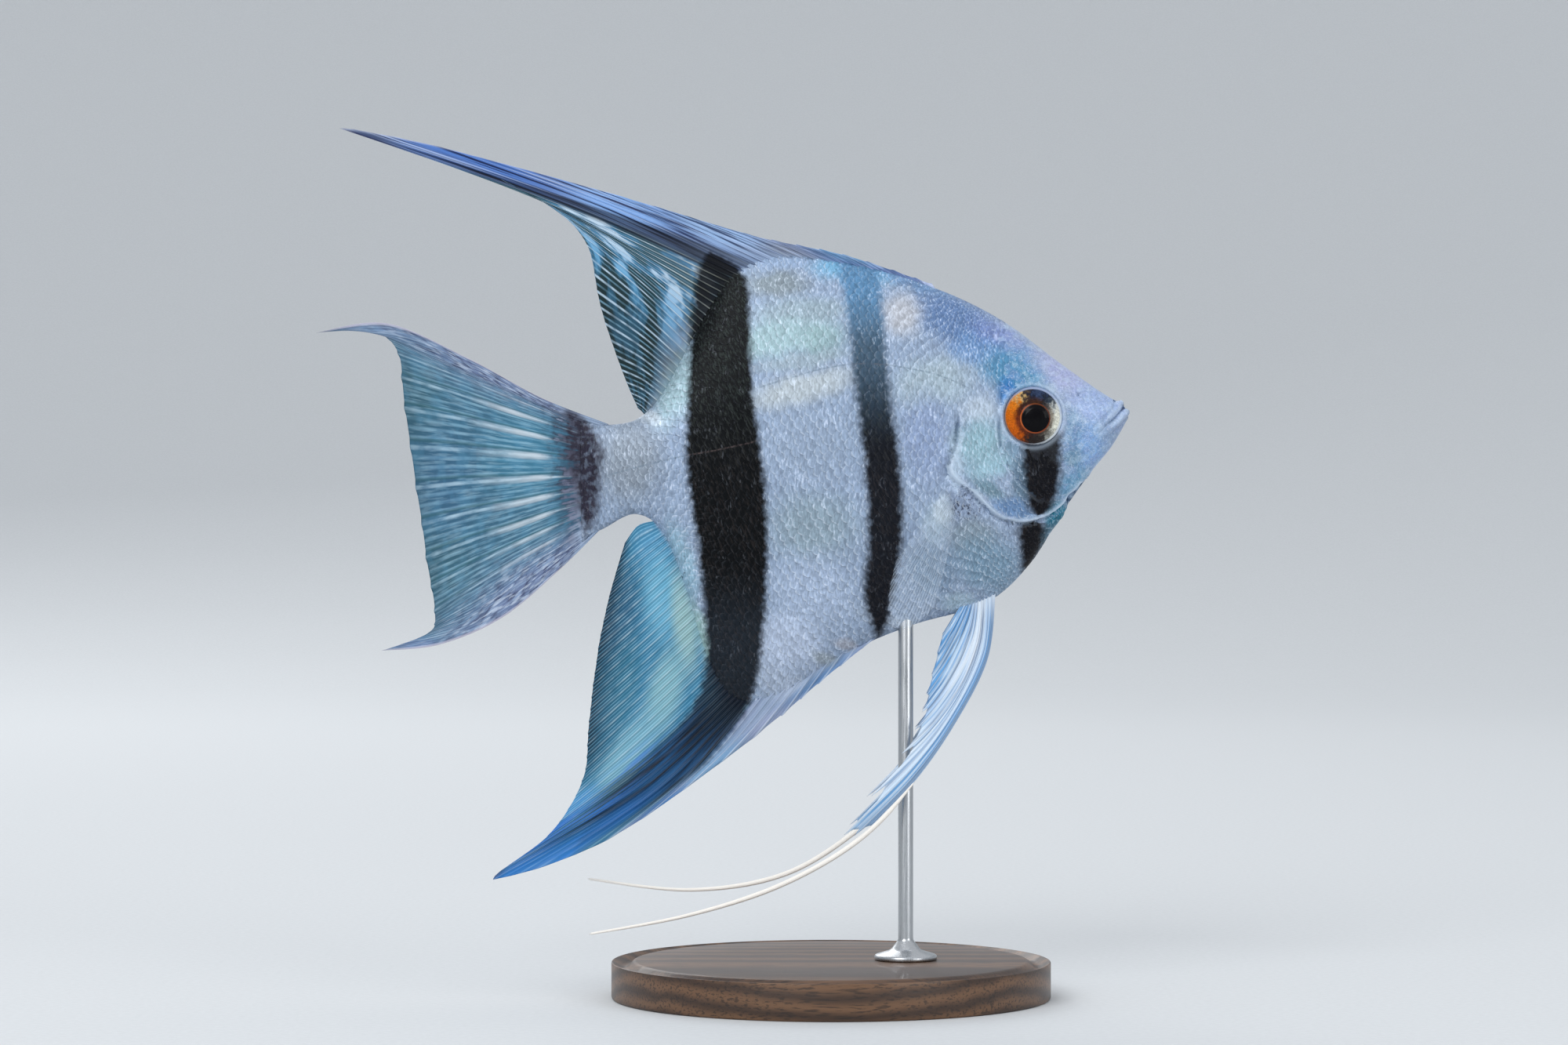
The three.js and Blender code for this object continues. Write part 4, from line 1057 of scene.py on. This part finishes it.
def caudal_skin():
    """Tail fin: azure web, chalky ray bundles at its middle and spotted margins."""
    material, tree = bare("caudal_web")
    place, body, _ = markings(tree)
    rays, number, row, reach = ray_map(tree)
    bundles = ray_lines(tree, number, reach, thin=0.07, soft=0.14)
    lines = ray_lines(tree, number, reach, thin=0.02, soft=0.06)
    branches = ray_lines(tree, number, reach, 4, 0.3, 0.06, 0.28)
    gaps = node(tree, "Math", (1.0, branches), operation="SUBTRACT")
    broken = streaks(tree, rays, 2.2, 10, 0.1, 1)
    # Chalky bundles amid the fin, each with a shadow beside it.
    amid = amount(tree, (row, 1.7, 2.5), (row, 5.9, 6.6, 1, 0))
    chalk = amount(tree, (reach, 0.26, 0.36), (reach, 0.42, 0.72, 1, 0), amid)
    beside = node(tree, "Math", (number, 0.2), operation="ADD")
    beside = ray_lines(tree, beside, reach, thin=0.02, soft=0.06)
    # Dusky margins above and below, with spots and dashes.
    off = apart(tree, row, 4.0)
    margin = amount(tree, (off, 1.3, 3.3), (reach, 0.5, 0.95, 1, 0.3))
    dusk = coats(tree, "#6a7298", (streaks(tree, rays, 3, 7, -0.2, 1), "#90a0c2"))
    # The dark smudge at the foot, over which the body's colours run out unevenly.
    uneven = (streaks(tree, rays, 5, 3, -0.04, 0.04), grain(tree, place, 1.2 * MM, -0.03, 0.03))
    uneven = node(tree, "Math", uneven, operation="ADD")
    foot = node(tree, "Math", (reach, uneven), operation="ADD")
    smudge = [(foot, 0.2, 0.32, 0.9, 0), (row, 0.6, 1.8, 0.4, 1), (row, 4.2, 6.0, 1, 0.4)]
    colour = coats(
        tree, washed(tree, place, "#406c86", CAUDAL_WASHES),
        (gaps, (reach, 0.3, 0.7, 0.2, 0.38), "#25485a"),
        (branches, broken, 0.5, "#8fb8cc"),
        (streaks(tree, rays, 1.6, 14, -0.5, 1), 0.3, "#5a94b4"),
        (streaks(tree, rays, 12, 9, -0.9, 1.0), (reach, 0.2, 0.35), 0.26, "#a6cadc"),
        (lines, broken, (reach, 0.3, 0.7, 0.6, 0.3), "#d0e2ee"),
        (chalk, bundles, streaks(tree, rays, 1.4, 5, 0.4, 0.9), "#bfcad2"),
        (beside, amid, 0.5, "#2c5860"),
        (margin, 0.75, dusk),
        (streaks(tree, rays, 1.6, 20, -0.9, 1.2), margin, 0.75, "#363c5a"),
        (streaks(tree, rays, 4, 16, -1.1, 1.0), margin, 0.7, "#c4d2e4"),
        ((off, 3.8, 3.95, 0, 0.8), "#c0bccc"),
        ((reach, 0.84, 0.99, 0, 0.35), "#274654"),
        (*smudge, streaks(tree, rays, 6, 12, 0.5, 1.1), "#2c2c3c"),
        ((foot, 0.17, 0.23, 1, 0), body),
    )
    return ridged(material, branches, {"Base Color": colour})


caudal = sleeve("caudal_web", CAUDAL, CAUDAL_RAYS, caudal_lean, 8, ray=0.16, ragged=0.02)
caudal.data.materials.append(caudal_skin())
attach(caudal, "root")
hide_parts("caudal_fin")

# ---------------------------------------------------------------- pelvic fins
# Two narrow blades under the breast, each of a spine and five soft rays, whose first
# ray runs on as a pale thread as long as the body.
PELVIC = [
    (21.4, -20.6, 20.4, -21.9, 19.6, -23.1, 18.7, -24.6, 17.7, -26.2),
    (22.2, -20.4, 21.2, -23.3, 19.8, -26.4, 18.0, -29.6, 15.9, -32.8),
    (23.0, -20.2, 22.2, -24.8, 20.4, -29.4, 17.7, -34.2, 14.3, -38.6),
    (24.0, -19.9, 23.4, -27.0, 20.8, -33.8, 16.2, -40.2, 10.5, -45.6),
    (25.0, -19.6, 24.1, -29.0, 19.1, -39.0, 12.3, -47.8, 1.6, -58.2),
]
THREADS = {
    "right": [(26.2, -19.4), (24.9, -30), (19.6, -40.4), (12.9, -49.8), (4.2, -58.7),
              (-8, -65.7), (-22.5, -70.4), (-38.4, -73.4)],
    "left": [(25.8, -19.4), (24.2, -30), (18.6, -40.3), (11.8, -49.4), (4.4, -57.5),
             (-7.5, -64.8), (-22.5, -67.3), (-39.1, -65.5)],
}
THREAD_SIDES = 10
THREAD_STEPS = 70
THREAD_START = 0.42  # share of its line at which a thread leaves the blade
THREAD_RADII = (0.1, 0.44, 0.4, 0.18)  # mm, from root to tip
THREAD_MARK = 50  # a ray number that no blade reaches, which tells the threads apart


def tube(name, line, lean):
    """A round thread along a line, rising from a fine root and tapering to its tip."""
    far = np.linspace(THREAD_START, 1, THREAD_STEPS)
    xz = along(line, far * (len(line) - 1))
    middle = np.stack([xz[:, 0], lean(far, xz[:, 1]), xz[:, 1]], -1)
    forward = np.gradient(middle, axis=0)
    forward /= np.linalg.norm(forward, axis=1, keepdims=True)
    across = np.array([0, 1, 0]) - forward * forward[:, 1:2]
    across /= np.linalg.norm(across, axis=1, keepdims=True)
    up = np.cross(across, forward)
    radius = np.interp(far, [far[0], far[0] + 0.08, 0.75, 1], THREAD_RADII)
    radius[0] = radius[-1] = 0
    turn = np.linspace(0, 2 * math.pi, THREAD_SIDES + 1)
    ring = across[:, None] * np.cos(turn)[:, None] + up[:, None] * np.sin(turn)[:, None]
    places = middle[:, None] + ring * radius[:, None, None]
    places[:, -1] = places[:, 0]
    grid = np.stack(np.meshgrid(far, turn + THREAD_MARK, indexing="ij"), -1)[..., ::-1]
    return wrapped(name, places, {"Rays": grid})


def pelvic_skin():
    """Pelvic fins: white silky rays over a pale and mid-blue web whose folds are painted in as highlight
    and shadow streaks, cream on the threads.
    """
    material, tree = bare("pelvic_web")
    rays, number, row, reach = ray_map(tree)
    lines = ray_lines(tree, number, reach, 2, thin=0.06, soft=0.2)
    core = [(row, 1.5, 2.6), (row, 3.5, 4.4, 1, 0), streaks(tree, rays, 1.4, 1.3, 0.3, 1.1)]
    colour = coats(
        tree, "#66a2d8",
        # Painted highlights on the folds: pale streaks and a white core.
        ((streaks(tree, rays, 1.6, 1.4), 0.3, 0.9), "#c0d9ef"),
        (*core, (reach, 0.3, 0.9, 1, 0.6), "#e8f0f8"),
        (lines, 0.55, "#e2ecf6"),
        # Painted shadow in the folds: dark blue streaks.
        (streaks(tree, rays, 2.8, 1.2, -0.5, 0.75), (row, 3.2, 4.2, 1, 0.5), "#2a507c"),
        ((row, 4.2, 4.7, 0, 0.8), "#7d94b0"),
        ((row, 4.85, 4.97, 0, 0.6), "#c9d8e8"),
        ((reach, 0.0, 0.16, 0.7, 0), "#e6eef6"),
        ((number, THREAD_MARK - 10, THREAD_MARK - 9), "#fbf6ee"),
    )
    return ridged(material, lines, {"Base Color": colour})


pelvic_web = pelvic_skin()
for hand, side in (("right", -1), ("left", 1)):
    def pelvic_lean(reach, z):
        return side * (0.9 + 0.09 * (-20 - z))

    front = tuple(np.array(THREADS[hand][:5]).ravel())
    blade = sleeve(f"pelvic_blade_{hand}", PELVIC + [front], [2] * 5, pelvic_lean, 20 + side,
                   ray=0.28, notch=[0.05, 0.06, 0.09, 0.12, 0.04], ragged=0.05)
    blade.data.materials.append(pelvic_web)
    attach(blade, "root")
    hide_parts(f"pelvic_fin_{hand}")
    thread = tube(f"pelvic_thread_{hand}", THREADS[hand], pelvic_lean)
    thread.data.materials.append(pelvic_web)
    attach(thread, "root")

# ---------------------------------------------------------------- pectoral fins
# Short fans of clear skin behind the gill covers, swung back against the flanks. Only
# their fine rays catch the light.
PECTORAL = [
    (19.0, -3.2, 14.5, -8.4, 10.0, -14.4),
    (19.0, -4.2, 13.6, -11.9, 8.8, -20.0),
    (19.1, -5.2, 14.4, -14.5, 9.6, -24.1),
    (19.4, -6.2, 16.0, -15.6, 12.2, -25.0),
    (19.8, -7.1, 18.0, -14.5, 16.0, -21.9),
]


def clear_skin():
    """Pectoral fins: skin as clear as film, so that only the rays show."""
    material, tree = bare("clear_web")
    _, number, _, reach = ray_map(tree)
    lines = ray_lines(tree, number, reach, thin=0.06, soft=0.12)
    branches = ray_lines(tree, number, reach, 2, 0.4, 0.06, 0.2)
    lines = node(tree, "Math", (lines, branches), operation="MAXIMUM")
    solid = amount(tree, (reach, 0.0, 0.25, 0.6, 0.2))
    seen = amount(tree, (lines, 0, 1, 0.05, solid))
    return ridged(material, lines, {"Base Color": paint("#c4d2e2"), "Alpha": seen})


clear_web = clear_skin()
for hand, side in (("right", -1), ("left", 1)):
    def pectoral_lean(reach, z):
        return side * (6.6 + 5 * reach)

    fan = sleeve(f"pectoral_web_{hand}", PECTORAL, [3] * 4, pectoral_lean, 30 + side, steps=40,
                 web=0.05, ray=0.14, notch=0.03)
    fan.data.materials.append(clear_web)
    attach(fan, "root")
    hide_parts(f"pectoral_fin_{hand}")

# ---------------------------------------------------------------- eyes
# A ball of polished resin in each socket: black pupil, a thin copper ring, an iris that
# is orange behind, navy above and cream in front, and a silver rim.
EYE_SIDE = 4.5  # mm from the middle of the head to the middle of the eye
EYE_DEPTH = 2.4  # mm from there to the top of the eye
PUPIL_SHIFT = (0.4, -0.35)  # mm from the middle of the socket, ahead and up
IRIS_MIDDLE = (0.25, -0.15)  # mm, the point that the iris's colours turn round
EYE_BACK = 0.6  # depth of the hidden half, as a share of the front's
EYE_RINGS = 48
EYE_SIDES = 96
# Radius and height of the eye's front, as shares of its radius and its depth.
EYE_PROFILE = [
    (0, 1.0), (0.2, 0.985), (0.34, 0.93), (0.43, 0.83), (0.47, 0.8), (0.52, 0.77), (0.65, 0.72),
    (0.78, 0.66), (0.85, 0.63), (0.9, 0.58), (0.96, 0.4), (1, 0),
]
# Colours round the eye by angle in degrees, from the front over the top: the inner and
# the outer part of the iris, the ring round the pupil, and the rim.
INNER_IRIS = [
    (0, "#8c8578"), (30, "#4a4442"), (55, "#221e20"), (75, "#3a2418"), (110, "#2c1a16"),
    (150, "#3c1a10"), (200, "#6a2c12"), (235, "#5c2812"), (270, "#241c1c"), (310, "#4c443c"),
    (360, "#8c8578"),
]
OUTER_IRIS = [
    (0, "#d2d2c4"), (25, "#b8bcb8"), (42, "#3e4852"), (58, "#1c2230"), (80, "#33415e"),
    (98, "#1a2032"), (112, "#4a3c30"), (124, "#bfa06c"), (140, "#c8741c"), (175, "#c9650c"),
    (225, "#b8540c"), (246, "#5c2c14"), (262, "#231d1c"), (292, "#2e2a28"), (312, "#8f9088"),
    (335, "#d2d3c6"), (360, "#d2d2c4"),
]
COPPER_RING = [
    (0, "#54281a"), (60, "#5e3018"), (110, "#6e381c"), (150, "#a04a1c"), (205, "#b05a2c"),
    (260, "#8c4424"), (310, "#7c3c24"), (360, "#54281a"),
]
EYE_RIM = [
    (0, "#cfdae4"), (60, "#8d9dbc"), (110, "#93a0bc"), (170, "#b0988c"), (230, "#9c8a8c"),
    (275, "#a3aab4"), (310, "#e6ecee"), (360, "#cfdae4"),
]


def round_colours(tree, turn, stops):
    """Colours that follow one another round the eye."""
    ring = node(tree, "ValToRGB", {"Fac": turn}).node
    steps = ring.color_ramp.elements
    steps[0].position, steps[0].color = 0, paint(stops[0][1])
    steps[1].position, steps[1].color = 1, paint(stops[-1][1])
    for angle, code in stops[1:-1]:
        steps.new(angle / 360).color = paint(code)
    return ring.outputs["Color"]


def glass_eye():
    """Eye: painted iris under clear polished resin, which gives it a sharp wet glint."""
    material, tree = bare("glass_eye")
    place = node(tree, "TexCoord", output="Object")
    reach = node(tree, "Attribute", output="Fac", attribute_name="reach")
    ahead, up = EYE_PLACE[0] + IRIS_MIDDLE[0], EYE_PLACE[1] + IRIS_MIDDLE[1]
    middle = (ahead * MM, 0, (up + BODY_HEIGHT) * MM)
    off = node(tree, "Mapping", {"Vector": place, "Location": middle}, vector_type="TEXTURE")
    parts = node(tree, "SeparateXYZ", (off,)).node.outputs
    turn = node(tree, "Math", (parts["Z"], parts["X"]), operation="ARCTAN2")
    turn = node(tree, "Math", (turn, 1 / math.tau, 1.0), operation="MULTIPLY_ADD")
    uneven = grain(tree, place, 0.6 * MM, -0.03, 0.03)
    turn = node(tree, "Math", (turn, uneven), operation="ADD")
    turn = node(tree, "Math", (turn,), operation="FRACT")
    uneven = grain(tree, place, 0.7 * MM, -0.03, 0.03)
    edge = node(tree, "Math", (reach, uneven), operation="ADD")
    inner, outer, rim, ring = (
        round_colours(tree, turn, stops) for stops in (INNER_IRIS, OUTER_IRIS, EYE_RIM, COPPER_RING)
    )
    colour = coats(tree, inner, ((edge, 0.56, 0.72), outer))
    tone = amount(tree, (grain(tree, place, 0.25 * MM), 0, 1, 0.75, 1.15))
    colour = toned(tree, colour, tone)
    colour = coats(
        tree, colour,
        ((reach, 0.87, 0.91), rim),
        ((reach, 0.505, 0.485), ring),
        ((reach, 0.46, 0.445), "#040306"),
    )
    return finish(material, {
        "Base Color": colour, "Roughness": 0.35, "Specular IOR Level": 0.05,
        "Coat Weight": 0.12, "Coat Roughness": 0.02,
    })


eye_glass = glass_eye()
for hand, side in (("right", -1), ("left", 1)):
    reach = np.sin(np.linspace(0, math.pi / 2, EYE_RINGS))
    turn = np.linspace(0, math.tau, EYE_SIDES + 1)
    shifted = 1 - smooth(reach, 0.45, 0.95)
    front = np.stack([reach, np.interp(reach, *np.array(EYE_PROFILE).T), shifted], -1)
    rear = reach[::-1][1:]
    back = np.stack([rear, -EYE_BACK * np.sqrt(1 - rear**2), 0 * rear], -1)
    radius, depth, shift = np.concatenate([front, back]).T[..., None]
    x = EYE_PLACE[0] + EYE_RADIUS * radius * np.cos(turn) + PUPIL_SHIFT[0] * shift
    z = EYE_PLACE[1] + EYE_RADIUS * radius * np.sin(turn) + PUPIL_SHIFT[1] * shift
    y = side * (EYE_SIDE + EYE_DEPTH * depth + 0 * turn)
    places = np.stack([x, y, z], -1)
    places[:, -1] = places[:, 0]
    shares = np.concatenate([front[:, 0], np.ones(len(back))])[:, None] + 0 * turn
    eye = wrapped(f"eyeball_{hand}", places, {"reach": shares})
    eye.data.materials.append(eye_glass)
    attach(eye, "root")
    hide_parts(f"eye_{hand}")

# ---------------------------------------------------------------- stand
# A turned walnut foot, oiled, with a brushed steel rod screwed into it. The rod ends
# inside the belly.
FOOT_STEPS = [(1.6, -1.2), (0.8, 0), (1.2, 1.2), (12, 0), (12, 0)]  # mm in and up, from the rim
ROD_STEPS = [(2.6, 0.8), (1.2, 1.6)]  # of the collar, from its edge to the rod
COLLAR_EDGE = 0.8  # mm, the collar's height at its edge
FOOT_SIDES = 160
ROD_SIDES = 64
EDGE_STEPS = 3  # faces across a rounded edge
SOFT_ANGLE = 35  # degrees up to which faces are shaded as one
YEAR_RINGS = 3  # mm from one to the next
WAVE_LENGTH = math.tau / 20  # of a wave pattern whose scale is 1


def turned(name, sides, radius, depth, middle, steps):
    """A disc with its top turned to steps of mm in and up. It stays in edit mode."""
    bpy.ops.object.select_all(action="DESELECT")
    bpy.ops.mesh.primitive_cylinder_add(vertices=sides, radius=radius, depth=depth, location=middle)
    piece = bpy.context.object
    piece.name = name
    bpy.ops.object.transform_apply(location=True)
    bpy.ops.object.mode_set(mode="EDIT")
    bpy.ops.mesh.select_all(action="DESELECT")
    bpy.ops.object.mode_set(mode="OBJECT")
    for face in piece.data.polygons:
        face.select = face.normal.z > 0.9
    bpy.ops.object.mode_set(mode="EDIT")
    for inward, up in steps:
        bpy.ops.mesh.inset(thickness=inward * MM, depth=up * MM)
    return piece


def eased(piece, width, angle):
    """Leaves edit mode, rounds the edges sharper than an angle and smooths the rest."""
    bpy.ops.object.mode_set(mode="OBJECT")
    bevel = piece.modifiers.new("Bevel", "BEVEL")
    bevel.width = width * MM
    bevel.segments = EDGE_STEPS
    bevel.angle_limit = math.radians(angle)
    bpy.ops.object.modifier_apply(modifier="Bevel")
    bpy.ops.object.shade_smooth_by_angle(angle=math.radians(SOFT_ANGLE))


def oiled_walnut():
    """Walnut: year rings 3 mm apart, long dark pores along X, a low oil sheen."""
    material, tree = bare("oiled_walnut")
    place = node(tree, "TexCoord", output="Object")
    inputs = {"Vector": place, "Location": (0, 0.02, 0.045), "Scale": (0.25, 1, 1)}
    drawn = node(tree, "Mapping", inputs)
    close = WAVE_LENGTH / (YEAR_RINGS * MM)
    inputs = {"Vector": drawn, "Scale": close, "Distortion": 2.5, "Detail": 3, "Detail Scale": 1.5}
    rings = node(tree, "TexWave", inputs, "Fac", wave_type="RINGS", rings_direction="X")
    drawn = node(tree, "Mapping", {"Vector": place, "Scale": (0.08, 1, 1)})
    pores = grain(tree, drawn, 0.35 * MM)
    colour = coats(tree, "#3a2618", (rings, "#6b4c33"), ((pores, 0.55, 0.95, 0, 0.7), "#1f130c"))
    inputs = {"Height": pores, "Strength": 0.2, "Distance": 0.05 * MM}
    bump = node(tree, "Bump", inputs, invert=True)
    looks = {"Base Color": colour, "Roughness": 0.45, "Coat Weight": 0.15, "Normal": bump}
    return finish(material, looks)


def brushed_steel():
    """Stainless steel drawn through a die: fine scratches along the rod."""
    material, tree = bare("brushed_steel")
    place = node(tree, "TexCoord", output="Object")
    drawn = node(tree, "Mapping", {"Vector": place, "Scale": (1, 1, 0.02)})
    scratched = grain(tree, drawn, 0.12 * MM, 0.2, 0.42)
    looks = {"Base Color": paint("#b9bcbf"), "Metallic": 1.0, "Roughness": scratched}
    return finish(material, looks)


low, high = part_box("stand_base")
radius = (high.x - low.x) / 2
base = turned("turned_foot", FOOT_SIDES, radius, high.z, (0, 0, high.z / 2), FOOT_STEPS)
eased(base, 0.6, 30)
base.data.materials.append(oiled_walnut())
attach(base, "root")
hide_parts("stand_base")

low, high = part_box("stand_rod")
middle = ((low.x + high.x) / 2, 0, low.z + COLLAR_EDGE / 2 * MM)
rod = turned("steel_rod", ROD_SIDES, (high.x - low.x) / 2, COLLAR_EDGE * MM, middle, ROD_STEPS)
collar = COLLAR_EDGE + sum(up for _, up in ROD_STEPS)
length = high.z - low.z - collar * MM
bpy.ops.mesh.extrude_region_move(TRANSFORM_OT_translate={"value": (0, 0, length)})
eased(rod, 0.3, 25)
rod.data.materials.append(brushed_steel())
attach(rod, "root")
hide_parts("stand_rod")

# ---------------------------------------------------------------- studio
# A pale round floor that sweeps up into a wall on every side, and soft light from
# large panels above and in front.
FLOOR_RADIUS = 1.1
SWEEP_RADIUS = 1.8
SWEEP_STEPS = 24
FLOOR_SIDES = 96
bpy.ops.object.select_all(action="DESELECT")
bpy.ops.mesh.primitive_circle_add(vertices=FLOOR_SIDES, radius=FLOOR_RADIUS, fill_type="NGON")
floor = bpy.context.object
floor.name = "studio_floor"
for edge in floor.data.edges:
    edge.select = True
bpy.ops.object.mode_set(mode="EDIT")
bpy.ops.mesh.select_mode(type="EDGE")
far, high = FLOOR_RADIUS, 0
for step in range(1, SWEEP_STEPS + 1):
    turn = math.pi / 2 * step / SWEEP_STEPS
    wider = FLOOR_RADIUS + SWEEP_RADIUS * math.sin(turn)
    higher = SWEEP_RADIUS * (1 - math.cos(turn))
    bpy.ops.mesh.extrude_edges_move(TRANSFORM_OT_translate={"value": (0, 0, higher - high)})
    bpy.ops.transform.resize(value=(wider / far, wider / far, 1), center_override=(0, 0, 0))
    far, high = wider, higher
bpy.ops.object.mode_set(mode="OBJECT")
bpy.ops.object.shade_smooth_by_angle(angle=math.radians(30))
material, tree = bare("matt_studio_paper")
fibres = grain(tree, node(tree, "TexCoord", output="Object"), 1 * MM)
colour = coats(tree, "#cfd2d4", (fibres, "#d3d6d8"))
floor.data.materials.append(finish(material, {"Base Color": colour, "Roughness": 0.9}))
floor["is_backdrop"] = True

LIGHTS = [  # place in metres, power in watts and size
    ((-0.6, -1.2, 0.9), 10.5, 0.8),
    ((1.0, -1.0, 0.5), 4.0, 0.7),
    ((0.0, 0.1, 1.5), 2.0, 1.0),
    ((-0.5, 1.1, 0.8), 4.5, 0.8),
]
AIM_HEIGHT = 0.08  # m, where the panels point
for (x, y, z), power, size in LIGHTS:
    rise = AIM_HEIGHT - z
    turn = math.atan2(-y, -x) - math.pi / 2
    tilt = math.acos(-rise / math.hypot(x, y, rise))
    bpy.ops.object.light_add(type="AREA", location=(x, y, z), rotation=(tilt, 0, turn))
    panel = bpy.context.object.data
    panel.energy = power
    panel.size = size
world = bpy.data.worlds.new("studio")
world.use_nodes = True
sky = world.node_tree.nodes["Background"].inputs
sky["Color"].default_value = paint("#e6e9ee")
sky["Strength"].default_value = 0.95
bpy.context.scene.world = world

low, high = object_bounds()
